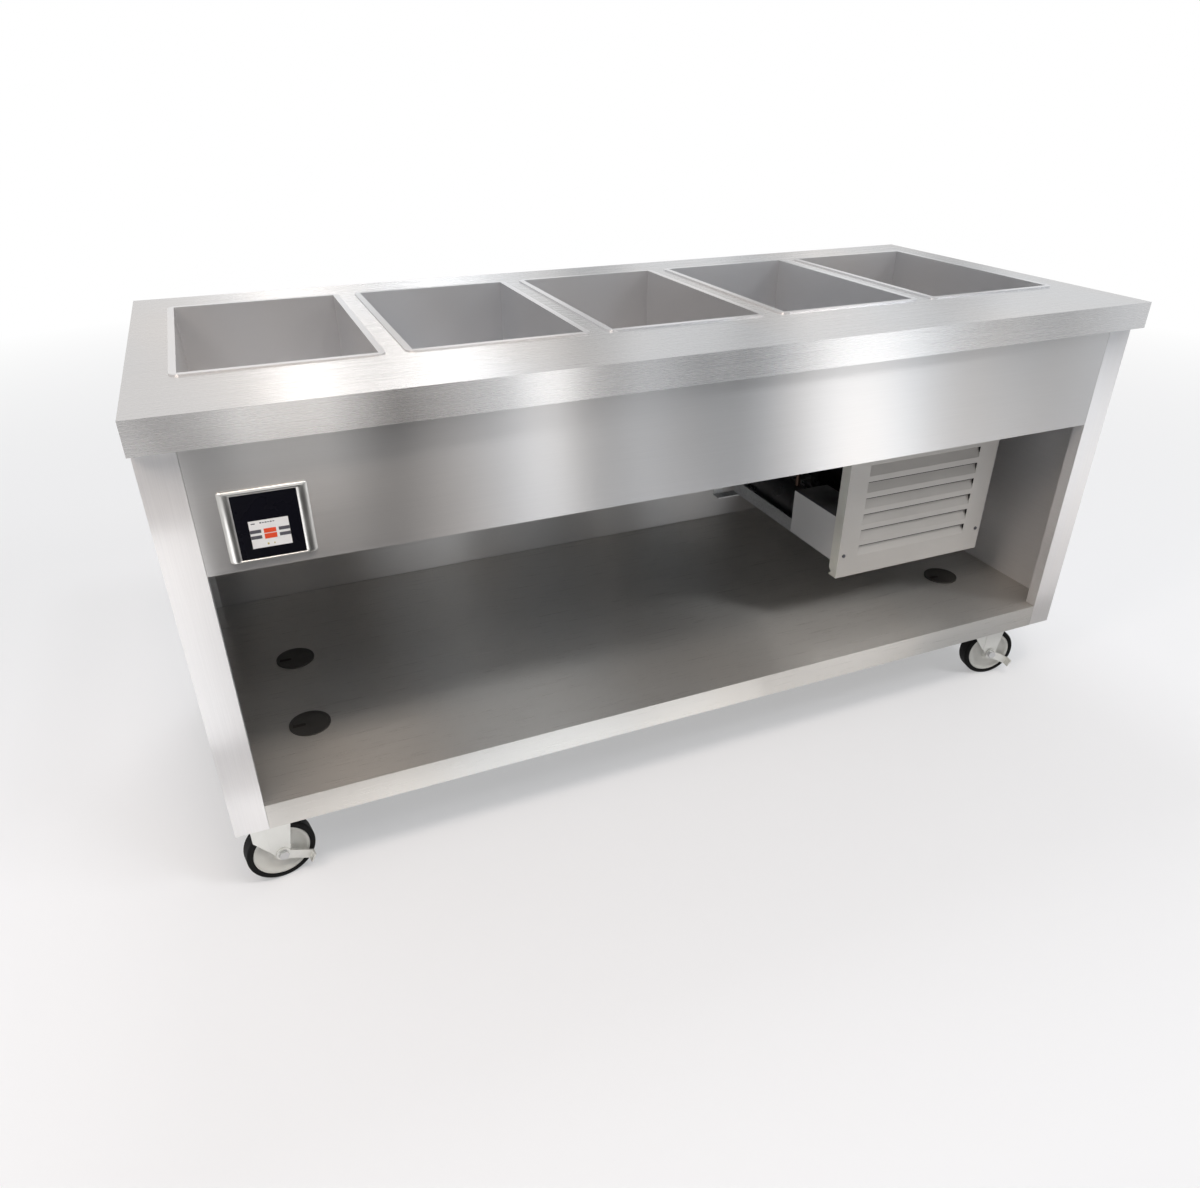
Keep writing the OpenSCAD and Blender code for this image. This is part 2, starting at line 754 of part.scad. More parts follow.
// Brake lever on the front of casters 1 and 2: it turns on the axle bolt to clamp the
// hub, and its end turns out for the toe
module brake_lever(i) {
  pedal_w = 13;
  pedal_h = 18;
  arm_h = 18;
  color("lightgray") at_caster(i)
    translate([-caster_trail, -fork_out - swivel_gap - brake_t, axle_z])
      rotate([0, brake_slope, 0]) difference() {
        union() {
          rotate([-90, 0, 0]) cylinder(h = brake_t, r = eye_r);
          translate([0, 0, -arm_h / 2]) cube([brake_reach, brake_t, arm_h]);
          translate([brake_reach - brake_t, -pedal_w, -pedal_h / 2])
            cube([brake_t, pedal_w + brake_t, pedal_h]);
        }
        translate([0, -1, 0]) rotate([-90, 0, 0]) cylinder(h = brake_t + 2, r = axle_r + run_clear);
      }
}

// Caster bolts with their nuts, and the pan-head screws of the louvred panel
module fasteners() {
  screw_head_h = 1.8;
  screw_end = 0.2;
  color("darkgray") {
    for (i = [1 : 4], dx = [-1, 1], dy = [-1, 1])
      translate(caster_pos(i) + [dx * bolt_dx / 2, dy * bolt_dy / 2, body_z]) {
        translate([0, 0, -plate_t - bolt_head_h]) cylinder(h = bolt_head_h, r = bolt_head_r, $fn = 6);
        translate([0, 0, -plate_t - 1]) cylinder(h = plate_t + channel_t + bolt_head_h + 3, r = bolt_r);
        translate([0, 0, channel_t]) cylinder(h = bolt_head_h, r = bolt_head_r, $fn = 6);
      }
    for (x = screw_x) {
      rod([x, unit_front_y - screw_head_h, screw_z], [x, unit_front_y, screw_z], 2 * screw_r);
      rod([x, unit_front_y - 1, screw_z],
          [x, unit_front_y + 2 * sheet_t + slip + screw_end, screw_z], screw_r);
    }
  }
}

// Frame of the controller: wide side borders with a ridge beside the face
module control_bezel() {
  t = 5;
  ridge = 4;
  color("gainsboro") difference() {
    union() {
      span([bezel_mid_x - bezel_w / 2, leg_y - t, bezel_mid_z - bezel_h / 2],
           [bezel_mid_x + bezel_w / 2, leg_y, bezel_mid_z + bezel_h / 2]);
      for (x = [bezel_mid_x - face_w / 2 - ridge, bezel_mid_x + face_w / 2])
        span([x, leg_y - t - 2, face_mid_z - face_h / 2], [x + ridge, leg_y, face_mid_z + face_h / 2]);
    }
    span([bezel_mid_x - face_w / 2 - slip, leg_y - 2 * t, face_mid_z - face_h / 2 - slip],
         [bezel_mid_x + face_w / 2 + slip, leg_y + 1, face_mid_z + face_h / 2 + slip]);
  }
}

module control_face() {
  color([0.08, 0.08, 0.1]) difference() {
    span([bezel_mid_x - face_w / 2, leg_y - face_t, face_mid_z - face_h / 2],
         [bezel_mid_x + face_w / 2, leg_y, face_mid_z + face_h / 2]);
    span([bezel_mid_x - display_w / 2 - slip, leg_y - face_t - 1, display_mid_z - display_h / 2 - slip],
         [bezel_mid_x + display_w / 2 + slip, leg_y - face_t + display_t - 0.3,
          display_mid_z + display_h / 2 + slip]);
  }
}

module control_display() {
  y = leg_y - face_t + display_t - 0.3;
  color("white")
    span([bezel_mid_x - display_w / 2, y - display_t, display_mid_z - display_h / 2],
         [bezel_mid_x + display_w / 2, y, display_mid_z + display_h / 2]);
}

// Housing behind the apron, with the conduit that runs to the electrical box
module control_box() {
  w = face_w + 3;
  h = face_h;
  y0 = leg_y + sheet_t;
  edge = 4;
  out_x = bezel_mid_x + w / 2 + conduit_out;
  run_y = leg_y + conduit_in;
  run_z = casing_z - conduit_drop;
  drop_x = unit_x + conduit_side;
  drop_y = unit_front_y + 45;
  color("dimgray") {
    difference() {
      span([bezel_mid_x - w / 2, y0, face_mid_z - h / 2 + edge],
           [bezel_mid_x + w / 2, y0 + box_d, face_mid_z + h / 2 - edge]);
      span([bezel_mid_x - w / 2 + sheet_t, y0 - 1, face_mid_z - h / 2 + edge + sheet_t],
           [bezel_mid_x + w / 2 - sheet_t, y0 + box_d - sheet_t, face_mid_z + h / 2 - edge - sheet_t]);
    }
    pipe_run([
      [bezel_mid_x + w / 2 - 1, run_y, face_mid_z],
      [out_x, run_y, face_mid_z],
      [out_x, run_y, run_z],
      [drop_x, run_y, run_z],
      [drop_x, drop_y, run_z],
      [drop_x, drop_y, tray_floor_z + box_h + slip]
    ], conduit_r);
  }
}

// Louvred front of the refrigeration unit: each blade slopes in from its lower edge
module louvre_panel() {
  top_z = unit_z + panel_h;
  flange_cut = 12;
  notch_gap = 1;
  blade_t = 1.2;
  blade_a = atan2(louvre_in, louvre_h);
  color("whitesmoke") {
    difference() {
      union() {
        span([unit_x, unit_front_y, unit_z], [unit_right_x, unit_front_y + sheet_t, top_z]);
        for (x = [unit_x, unit_right_x - sheet_t])
          span([x, unit_front_y, unit_z], [x + sheet_t, unit_front_y + panel_flange, top_z]);
        span([unit_x, unit_front_y, top_z - sheet_t],
             [unit_right_x, unit_front_y + panel_flange, top_z]);
      }
      for (k = [0 : louvre_n - 1]) translate([unit_mid_x, unit_front_y, louvre_z(k)])
        cube([louvre_l, 6 * sheet_t, louvre_h], center = true);
      for (x = screw_x)
        rod([x, unit_front_y - 1, screw_z], [x, unit_front_y + 2 * sheet_t, screw_z], screw_r + slip);
      for (x = post_x)
        span([x - notch_gap, post_y - notch_gap, top_z - 2 * sheet_t],
             [x + hanger_w + notch_gap, post_y + hanger_t + notch_gap, top_z + 1]);
      translate([unit_x - 1, unit_front_y + panel_flange, unit_z]) rotate([45, 0, 0])
        cube([unit_w + 2, flange_cut, flange_cut]);
    }
    for (k = [0 : louvre_n - 1])
      translate([unit_mid_x - louvre_l / 2, unit_front_y, louvre_z(k) - louvre_h / 2])
        rotate([-blade_a, 0, 0]) translate([0, 0, -1])
          cube([louvre_l, blade_t, norm([louvre_in, louvre_h]) + 1]);
  }
}

// Middle height of louvre k
function louvre_z(k) = unit_z + louvre_first - louvre_h / 2 + k * louvre_pitch;

// Tray with low sides: its front is cut down behind the louvres, and its left side
// for the electrical box
module unit_tray() {
  x1 = tray_x + tray_w;
  notch_gap = 4;
  color("darkgray") difference() {
    union() {
      span([tray_x, tray_y, tray_z], [x1, tray_end_y, tray_floor_z]);
      for (x = [tray_x, x1 - sheet_t])
        span([x, tray_y, tray_z], [x + sheet_t, tray_end_y, tray_z + tray_h]);
      for (y = [tray_y, tray_end_y - sheet_t])
        span([tray_x, y, tray_z], [x1, y + sheet_t, tray_z + tray_h]);
    }
    span([tray_x - 1, box_y - slip, tray_floor_z],
         [tray_x + sheet_t + 1, box_y + box_l + slip, tray_z + tray_h + 1]);
    span([unit_mid_x - louvre_l / 2 - notch_gap, tray_y - 1, louvre_z(0) - louvre_h / 2 - notch_gap],
         [unit_mid_x + louvre_l / 2 + notch_gap, tray_y + sheet_t + 1, tray_z + tray_h + 1]);
    for (x = screw_x)
      rod([x, tray_y - 1, screw_z], [x, tray_y + 2 * sheet_t, screw_z], screw_r + slip);
  }
}

// Hangers that carry the tray from the casing: two posts at the front, and a pair at
// the back joined by a rail under the tray
module unit_hangers() {
  foot = 24;
  toe = 18;
  rail_out = 60;
  rear_y = tray_end_y + slip;
  rear_x0 = tray_x - rail_out;
  rear_x1 = tray_x + tray_w + rail_out;
  color("silver") {
    for (x = post_x) {
      span([x, post_y, tray_floor_z], [x + hanger_w, post_y + hanger_t, casing_z]);
      span([x, post_y, tray_floor_z], [x + hanger_w, post_y + toe, tray_floor_z + hanger_t]);
      span([x, post_y, casing_z - hanger_t], [x + hanger_w, post_y + foot, casing_z]);
    }
    span([rear_x0, rear_y - rear_hanger_w, tray_z - hanger_t], [rear_x1, rear_y + hanger_t, tray_z]);
    for (x = [rear_x0, rear_x1 - rear_hanger_w]) {
      span([x, rear_y, tray_z - hanger_t], [x + rear_hanger_w, rear_y + hanger_t, casing_z]);
      span([x, rear_y, casing_z - hanger_t], [x + rear_hanger_w, rear_y + foot, casing_z]);
    }
  }
}

// Sealed compressor on its base plate and rubber feet, with a terminal cover
module compressor() {
  round_r = 30;
  foot_dx = 64;
  foot_dy = 50;
  foot_edge = 14;
  foot_r = 11;
  base_t = 4;
  band_w = 3;
  band_h = 5;
  cover = [40, 56, 70];
  cover_out = 18;
  cover_up = 40;
  color([0.07, 0.07, 0.08]) translate([compressor_x, compressor_y, 0]) {
    translate([0, 0, compressor_z - 1]) rotate_extrude($fn = 96) {
      square([compressor_r, compressor_h - round_r]);
      square([compressor_r - round_r, compressor_h]);
      intersection() {
        translate([compressor_r - round_r, compressor_h - round_r]) circle(round_r);
        square([compressor_r, compressor_h]);
      }
    }
    translate([0, 0, compressor_z + 0.45 * compressor_h])
      cylinder(h = band_h, r = compressor_r + band_w);
    translate([-foot_dx - foot_edge, -foot_dy - foot_edge, compressor_z - base_t])
      cube([2 * (foot_dx + foot_edge), 2 * (foot_dy + foot_edge), base_t]);
    for (x = [-1, 1], y = [-1, 1])
      translate([x * foot_dx, y * foot_dy, tray_floor_z])
        cylinder(h = compressor_z - tray_floor_z - 1, r = foot_r);
    translate([-compressor_r - cover_out, -cover.y / 2, compressor_z + cover_up]) cube(cover);
  }
}

// Finned core between two end plates, with the return bends on the left
module condenser_coil() {
  bend_r = 8;
  bend_n = 4;
  bend_up = 44;
  bend_pitch = 50;
  plate = 2;
  top_z = tray_floor_z + coil_h;
  color("slategray") {
    span([coil_x + 1, coil_y, tray_floor_z + 6], [coil_x + coil_w - 1, coil_y + coil_d, top_z]);
    for (x = [coil_x, coil_x + coil_w - plate])
      span([x, coil_y - 1, tray_floor_z], [x + plate, coil_y + coil_d + 1 - slip, top_z + 4]);
    for (k = [0 : bend_n - 1])
      translate([coil_x + 0.5, coil_y + coil_d / 2, tray_floor_z + bend_up + k * bend_pitch])
        rotate([90, 0, 0]) rotate([0, 0, 90])
          rotate_extrude(angle = 180) translate([bend_r, 0]) circle(line_r);
  }
}

module fan_shroud() {
  ring_r = fan_r + 6;
  ring_d = 16;
  foot_d = 14;
  x0 = coil_x + 3;
  x1 = coil_x + coil_w - 3;
  color([0.1, 0.1, 0.1]) difference() {
    union() {
      span([x0, shroud_y, tray_floor_z], [x1, shroud_y + sheet_t, tray_floor_z + coil_h]);
      span([x0, shroud_y, tray_floor_z], [x1, shroud_y + foot_d, tray_floor_z + sheet_t]);
      rod([fan_x, shroud_y, fan_z], [fan_x, shroud_y + ring_d, fan_z], ring_r + sheet_t);
    }
    rod([fan_x, shroud_y - 1, fan_z], [fan_x, shroud_y + ring_d + 1, fan_z], ring_r);
  }
}

// Fan motor on a bracket that stands on the tray
module fan_motor() {
  motor_r = 38;
  post_w = 60;
  post_d = 4;
  foot_d = 30;
  x0 = fan_x - post_w / 2;
  x1 = fan_x + post_w / 2;
  y0 = motor_y + 20;
  color([0.09, 0.09, 0.1]) difference() {
    union() {
      rod([fan_x, motor_y, fan_z], [fan_x, motor_y + motor_l, fan_z], motor_r);
      span([x0, y0, tray_floor_z], [x1, y0 + post_d, fan_z - motor_r + 8]);
      span([x0, y0, tray_floor_z], [x1, y0 + foot_d, tray_floor_z + 3]);
    }
    rod([fan_x, motor_y - 1, fan_z], [fan_x, motor_y + shaft_in + 1, fan_z], shaft_r + run_clear);
  }
}

// Four-bladed fan with its shaft, which turns in the motor
module fan_blade() {
  hub_r = 22;
  blade_root = 18;
  blade_t = 2;
  blade_w = 52;
  blade_pitch = 28;
  color("lightgray") {
    rod([fan_x, fan_y, fan_z], [fan_x, fan_y + blade_d, fan_z], hub_r);
    rod([fan_x, fan_y + 1, fan_z], [fan_x, motor_y + shaft_in, fan_z], shaft_r);
    intersection() {
      rod([fan_x, fan_y, fan_z], [fan_x, fan_y + blade_d, fan_z], fan_r);
      for (a = [0 : 90 : 270])
        translate([fan_x, fan_y + blade_d / 2, fan_z]) rotate([0, a, 0]) rotate([blade_pitch, 0, 0])
          translate([blade_root, -blade_t / 2, -blade_w / 2]) cube([fan_r, blade_t, blade_w]);
    }
  }
}

// Liquid receiver on two saddles
module receiver() {
  round_r = 25;
  saddle_t = 4;
  saddle_w = 64;
  saddle_in = 45;
  color([0.07, 0.07, 0.08]) {
    translate([receiver_x, receiver_y, receiver_z]) rotate([-90, 0, 0]) rotate_extrude($fn = 96) {
      translate([0, round_r]) square([receiver_r, receiver_l - 2 * round_r]);
      square([receiver_r - round_r, receiver_l]);
      for (z = [round_r, receiver_l - round_r]) intersection() {
        translate([receiver_r - round_r, z]) circle(round_r);
        square([receiver_r, receiver_l]);
      }
    }
    for (y = [receiver_y + saddle_in, receiver_y + receiver_l - saddle_in - saddle_t])
      span([receiver_x - saddle_w / 2, y, tray_floor_z],
           [receiver_x + saddle_w / 2, y + saddle_t, receiver_z - 12]);
  }
}

// One evaporator tube under a well: straight runs, return bends and two stubs
module evaporator(i) {
  translate([well_x(i), well_y, tube_z]) {
    for (k = [0 : run_n - 1])
      rod([-run_l / 2, run_y0 + k * run_pitch, 0], [run_l / 2, run_y0 + k * run_pitch, 0], tube_r);
    for (k = [0 : run_n - 2])
      translate([(k % 2 == 0 ? 1 : -1) * run_l / 2, run_y0 + (k + 0.5) * run_pitch, 0])
        rotate([0, 0, k % 2 == 0 ? -90 : 90])
          rotate_extrude(angle = 180) translate([run_pitch / 2, 0]) circle(tube_r);
    for (y = [run_y0, -run_y0])
      rod([stub_x, y, header_z + header_r / 2 - tube_z], [stub_x, y, 0], stub_r);
  }
}

// Copper tubes: evaporators, headers and the lines of the refrigeration unit
module refrigerant_lines() {
  suction_y = well_y - run_y0;
  liquid_y = well_y + run_y0;
  start_x = well_x(1) - run_l / 2 - 20;
  liquid_drop_y = receiver_y + 50;
  suction_z = compressor_z + 110;
  coil_mid_y = coil_y + coil_d / 2;
  coil_top_z = tray_floor_z + coil_h;
  coil_low_z = tray_floor_z + 20;
  line_z = coil_top_z + 18;
  side_x = box_x + box_w + 6;
  side_y = receiver_y + 80;
  color([0.72, 0.45, 0.3]) {
    for (i = [1 : well_count]) evaporator(i);
    pipe_run([
      [start_x, suction_y, header_z],
      [compressor_x, suction_y, header_z],
      [compressor_x, suction_y, suction_z],
      [compressor_x, compressor_y + compressor_r + slip, suction_z]
    ], header_r);
    pipe_run([
      [start_x, liquid_y, header_z],
      [receiver_x, liquid_y, header_z],
      [receiver_x, liquid_drop_y, header_z],
      [receiver_x, liquid_drop_y, receiver_z + receiver_r + slip]
    ], header_r);
    pipe_run([
      [compressor_x, compressor_y, compressor_z + compressor_h - 1 + slip],
      [compressor_x, compressor_y, line_z],
      [compressor_x, coil_mid_y, line_z],
      [compressor_x, coil_mid_y, coil_top_z + slip]
    ], tube_r);
    pipe_run([
      [coil_x - slip, coil_mid_y, coil_low_z],
      [side_x, coil_mid_y, coil_low_z],
      [side_x, side_y, coil_low_z],
      [side_x, side_y, receiver_z],
      [receiver_x + receiver_r + slip, side_y, receiver_z]
    ], line_r);
  }
}

// Cover of the electrical box, open at the bottom
module electrical_box() {
  wall = 1.2;
  color("gray") difference() {
    span([box_x, box_y, tray_floor_z], [box_x + box_w, box_y + box_l, tray_floor_z + box_h]);
    span([box_x + wall, box_y + wall, tray_floor_z - 1],
         [box_x + box_w - wall, box_y + box_l - wall, tray_floor_z + box_h - wall]);
  }
}

// Gland for the power cord, in the back panel
module cord_gland() {
  thread_l = 14;
  dome_l = 18;
  hex_t = 6;
  hex_r = 15;
  color("dimgray") difference() {
    union() {
      rod([gland_x, panel_in_y - thread_l, gland_z], [gland_x, back_y + 8, gland_z],
          cord_r + gland_wall);
      rod([gland_x, back_y + 8, gland_z], [gland_x, back_y + dome_l, gland_z], cord_r + 5);
      for (y = [panel_in_y - hex_t, back_y])
        translate([gland_x, y, gland_z]) rotate([-90, 0, 0]) cylinder(h = hex_t, r = hex_r, $fn = 6);
      rod([gland_x, back_y + 5, gland_z], [gland_x, back_y + 9, gland_z], cord_r + 6);
    }
    rod([gland_x, panel_in_y - thread_l - 1, gland_z],
        [gland_x, back_y + dome_l + 1, gland_z], cord_r);
  }
}

countertop();
for (i = [1 : well_count]) well(i);
well_insulation();
well_casing();
well_drains();
drain_manifold();
drain_valve();
drain_lever();
end_panel(-1);  // end_panel_left
end_panel(1);  // end_panel_right
back_panel();
front_apron();
bottom_shelf();
shelf_channels();
grommet_rings();
for (i = [1 : 4]) grommet_cap(i);
caster_plates();
for (i = [1 : 4]) caster_fork(i);
for (i = [1 : 4]) tyre(i);
for (i = [1 : 4]) wheel_hub(i);
for (i = [1 : 4]) axle(i);
for (i = [1 : 2]) brake_lever(i);
fasteners();
control_bezel();
control_face();
control_display();
control_box();
louvre_panel();
unit_tray();
unit_hangers();
compressor();
condenser_coil();
fan_shroud();
fan_motor();
fan_blade();
receiver();
refrigerant_lines();
electrical_box();
cord_gland();
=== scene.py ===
"""Mobile salad bar: materials, small pieces, floor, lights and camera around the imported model.

Frame: metres, origin on the floor in the middle of the counter, +X to the operator's right,
-Y the operator's side, +Z up.
"""
import json
import math

import bmesh
import bpy
from mathutils import Matrix, Vector


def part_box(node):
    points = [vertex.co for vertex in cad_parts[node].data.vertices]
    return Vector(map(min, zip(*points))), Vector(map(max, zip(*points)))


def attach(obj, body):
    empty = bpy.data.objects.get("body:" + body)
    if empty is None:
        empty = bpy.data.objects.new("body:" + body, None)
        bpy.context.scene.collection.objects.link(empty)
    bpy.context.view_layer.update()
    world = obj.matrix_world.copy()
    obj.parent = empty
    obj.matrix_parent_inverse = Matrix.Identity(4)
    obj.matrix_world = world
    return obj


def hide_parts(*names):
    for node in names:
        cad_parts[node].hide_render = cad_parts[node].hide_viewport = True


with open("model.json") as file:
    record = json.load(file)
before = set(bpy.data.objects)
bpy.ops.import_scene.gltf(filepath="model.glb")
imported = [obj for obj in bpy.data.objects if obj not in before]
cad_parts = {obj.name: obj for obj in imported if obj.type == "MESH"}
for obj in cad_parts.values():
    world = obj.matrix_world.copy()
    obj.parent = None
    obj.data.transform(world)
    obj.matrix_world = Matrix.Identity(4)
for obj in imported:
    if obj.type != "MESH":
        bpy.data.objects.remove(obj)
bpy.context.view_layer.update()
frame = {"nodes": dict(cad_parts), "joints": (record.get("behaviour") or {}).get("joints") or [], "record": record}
nodes = frame["nodes"]
scene = bpy.context.scene

MM = 0.001
CASTERS = (1, 2, 3, 4)
GROMMETS = (1, 2, 3, 4)
WELLS = (1, 2, 3, 4, 5)

WHITE = (1.0, 1.0, 1.0)
ALONG_X = (1.0, 0.0, 0.0)
ALONG_Y = (0.0, 1.0, 0.0)
ALONG_Z = (0.0, 0.0, 1.0)


# Camera, found from the photograph's straight edges

def add_camera():
    data = bpy.data.cameras.new("camera")
    data.sensor_fit = "HORIZONTAL"
    data.sensor_width = 36.0
    data.lens = 26.87
    data.shift_x = -0.0013
    data.shift_y = 0.0023
    data.clip_end = 60.0
    camera = bpy.data.objects.new("camera", data)
    camera.location = (-0.7962, -1.6782, 1.2930)
    down, right = 0.520, 0.400
    camera.rotation_euler = (math.pi / 2 - down, 0.0, -right)
    scene.collection.objects.link(camera)
    scene.camera = camera


add_camera()


# Shader helpers

# Most values of a noise lie between these two
NOISE_RANGE = (0.3, 0.7)


class Graph:
    """Short calls for building the nodes of one material or of the world."""

    def __init__(self, owner, output="ShaderNodeOutputMaterial"):
        owner.use_nodes = True
        self.owner = owner
        self.tree = owner.node_tree
        self.tree.nodes.clear()
        self.out = self.node(output)

    def node(self, kind, **settings):
        made = self.tree.nodes.new(kind)
        for key, value in settings.items():
            setattr(made, key, value)
        return made

    def link(self, source, target):
        self.tree.links.new(source, target)

    def put(self, target, value):
        """Sets a socket to a plain value, or links it to another socket."""
        if isinstance(value, bpy.types.NodeSocket):
            self.link(value, target)
        else:
            target.default_value = value

    def put_color(self, target, value):
        """The same for a colour socket, where a plain value has no alpha."""
        self.put(target, value if isinstance(value, bpy.types.NodeSocket) else (*value, 1.0))

    def position(self, space="Object"):
        """Where the shaded point is, or for the world which way the ray goes."""
        return self.node("ShaderNodeTexCoord").outputs[space]

    def split(self, vector):
        """The parts of a vector, by the names X, Y and Z."""
        made = self.node("ShaderNodeSeparateXYZ")
        self.link(vector, made.inputs[0])
        return made.outputs

    def coords(self, scale, turn=(0, 0, 0)):
        """Object coordinates, turned and scaled along each axis."""
        mapping = self.node("ShaderNodeMapping")
        mapping.inputs["Scale"].default_value = scale
        mapping.inputs["Rotation"].default_value = turn
        self.link(self.position(), mapping.inputs["Vector"])
        return mapping.outputs["Vector"]

    def noise(self, vector, detail, rough):
        made = self.node("ShaderNodeTexNoise")
        self.link(vector, made.inputs["Vector"])
        made.inputs["Scale"].default_value = 1.0
        made.inputs["Detail"].default_value = detail
        made.inputs["Roughness"].default_value = rough
        return made.outputs["Fac"]

    def spread(self, value, low, high, start=0.0, end=1.0):
        """Maps value from start..end to low..high."""
        made = self.node("ShaderNodeMapRange")
        self.put(made.inputs["Value"], value)
        made.inputs["From Min"].default_value = start
        made.inputs["From Max"].default_value = end
        made.inputs["To Min"].default_value = low
        made.inputs["To Max"].default_value = high
        return made.outputs["Result"]

    def math(self, operation, a, b=0.0):
        made = self.node("ShaderNodeMath", operation=operation)
        self.put(made.inputs[0], a)
        self.put(made.inputs[1], b)
        return made.outputs[0]

    def mix(self, factor, low, high, blend="MIX"):
        made = self.node("ShaderNodeMix", data_type="RGBA", blend_type=blend)
        self.put(made.inputs["Factor"], factor)
        self.put_color(made.inputs["A"], low)
        self.put_color(made.inputs["B"], high)
        return made.outputs["Result"]

    def mix_value(self, factor, low, high):
        made = self.node("ShaderNodeMix", data_type="FLOAT")
        self.put(made.inputs["Factor"], factor)
        self.put(made.inputs["A"], low)
        self.put(made.inputs["B"], high)
        return made.outputs["Result"]

    def bump(self, height, strength, distance, normal=None):
        made = self.node("ShaderNodeBump")
        made.inputs["Strength"].default_value = strength
        made.inputs["Distance"].default_value = distance
        self.link(height, made.inputs["Height"])
        if normal is not None:
            self.link(normal, made.inputs["Normal"])
        return made.outputs["Normal"]

    def emit(self, color, strength=1.0, kind="ShaderNodeEmission"):
        made = self.node(kind)
        made.inputs["Color"].default_value = (*color, 1.0)
        self.put(made.inputs["Strength"], strength)
        return made.outputs[0]

    def blend(self, factor, first, second):
        """Goes from the first shader to the second as the factor rises."""
        made = self.node("ShaderNodeMixShader")
        self.link(factor, made.inputs["Fac"])
        self.link(first, made.inputs[1])
        self.link(second, made.inputs[2])
        return made.outputs[0]

    def end(self, shader):
        self.link(shader, self.out.inputs["Surface"])
        return self.owner

    def surface(self, **inputs):
        """Ends the graph in one Principled shader."""
        shader = self.node("ShaderNodeBsdfPrincipled")
        for name, value in inputs.items():
            self.put(shader.inputs[name.replace("_", " ")], value)
        return self.end(shader.outputs["BSDF"])


def new_graph(name):
    """Graph of a new material."""
    return Graph(bpy.data.materials.new(name))


def shade(color, factor):
    return tuple(c * factor for c in color)


def faces_along(g, axis):
    """1 on faces that look along an axis, either way, and 0 on the others."""
    least_part = 0.7
    normal = g.node("ShaderNodeNewGeometry").outputs["True Normal"]
    return g.math("GREATER_THAN", g.math("ABSOLUTE", g.split(normal)[axis]), least_part)


def seen_directly(g):
    """1 for rays from the camera, and for those that metal and glass send on."""
    path = g.node("ShaderNodeLightPath").outputs
    mirrored = g.math("MAXIMUM", path["Is Glossy Ray"], path["Is Transmission Ray"])
    return g.math("MAXIMUM", path["Is Camera Ray"], mirrored)


# Materials

def fine_streaks(g, grain):
    """Hairline scratches that run along the grain."""
    along, across = 7.0, 900.0
    return g.noise(g.coords([along if c else across for c in grain]), 3.0, 0.65)


def brushed_steel(name, color, rough, anisotropy=1.0, metallic=0.9, contrast=1.0,
                  grain=ALONG_X, front_grain=None):
    """Sheet steel with a grain, which blurs what it mirrors across the grain and hardly along it.

    Faces that look to the operator or to the back have front_grain where that is given.
    """
    g = new_graph(name)
    streaks = fine_streaks(g, grain)
    # The shader heeds a tangent only through a link, so a plain one comes from a mix as well
    direction = g.mix(0.0, grain, grain)
    if front_grain:
        forward = faces_along(g, "Y")
        streaks = g.mix_value(forward, streaks, fine_streaks(g, front_grain))
        direction = g.mix(forward, grain, front_grain)

    # Colour: streaks, then slow clouds, then a slow change from a cold tint to a warm one
    clouds = g.noise(g.coords((2.2, 2.2, 2.2)), 2.0, 0.5)
    hue = g.noise(g.coords((3.1, 1.3, 1.3)), 1.0, 0.5)
    cold, warm = (0.975, 0.988, 1.0), (1.0, 0.972, 0.945)
    streaked = g.mix(g.spread(streaks, 0.0, 1.0, *NOISE_RANGE), shade(color, 1 - 0.03 * contrast),
                     shade(color, 1 + 0.02 * contrast))
    clouded = g.mix(g.spread(clouds, 0.0, 0.5, 0.35, 0.7), streaked, shade(color, 0.95))
    tint = g.mix(g.spread(hue, 0.0, 1.0, 0.35, 0.65), cold, warm)

    # Relief: the sheet is slightly wavy, and the streaks lie on top of that
    waves = g.noise(g.coords((2.6, 1.4, 1.4)), 0.0, 0.5)
    waved = g.bump(waves, 1.0, 3.5 * MM)
    return g.surface(Base_Color=g.mix(1.0, clouded, tint, "MULTIPLY"), Metallic=metallic,
                     Roughness=g.spread(streaks, rough - 0.02, rough + 0.02, *NOISE_RANGE),
                     Anisotropic=anisotropy, Anisotropic_Rotation=0.25, Tangent=direction,
                     Normal=g.bump(streaks, 0.03 * contrast, 0.1 * MM, waved))


def galvanised(name, color):
    """Zinc-coated sheet with spangles and a little dust."""
    g = new_graph(name)
    cells = g.node("ShaderNodeTexVoronoi")
    g.link(g.coords((70, 70, 70)), cells.inputs["Vector"])
    tone = g.node("ShaderNodeSeparateColor")
    g.link(cells.outputs["Color"], tone.inputs[0])
    spangles = g.mix(tone.outputs[0], shade(color, 0.86), shade(color, 1.08))
    dust = g.noise(g.coords((9, 9, 9)), 4.0, 0.6)
    dusty = g.mix(g.spread(dust, 0.0, 0.35, 0.45, 0.8), spangles, shade(color, 0.8))
    return g.surface(Base_Color=dusty, Metallic=0.75,
                     Roughness=g.spread(tone.outputs[1], 0.34, 0.52))


def moulded(name, color, rough, grain_scale=900.0, depth=0.15, variation=0.12, coat=0.0,
            gloss=0.5):
    """Plastic, rubber or paint with a fine skin and slow changes of tone."""
    g = new_graph(name)
    skin = g.noise(g.coords((grain_scale,) * 3), 2.0, 0.6)
    clouds = g.noise(g.coords((25, 25, 25)), 3.0, 0.55)
    base = g.mix(g.spread(clouds, 0.0, 1.0, 0.3, 0.75), shade(color, 1 - variation),
                 shade(color, 1 + variation * 0.5))
    return g.surface(Base_Color=base, Coat_Weight=coat, Specular_IOR_Level=gloss,
                     Roughness=g.spread(clouds, rough + 0.05, rough - 0.05, *NOISE_RANGE),
                     Normal=g.bump(skin, depth, 0.2 * MM))


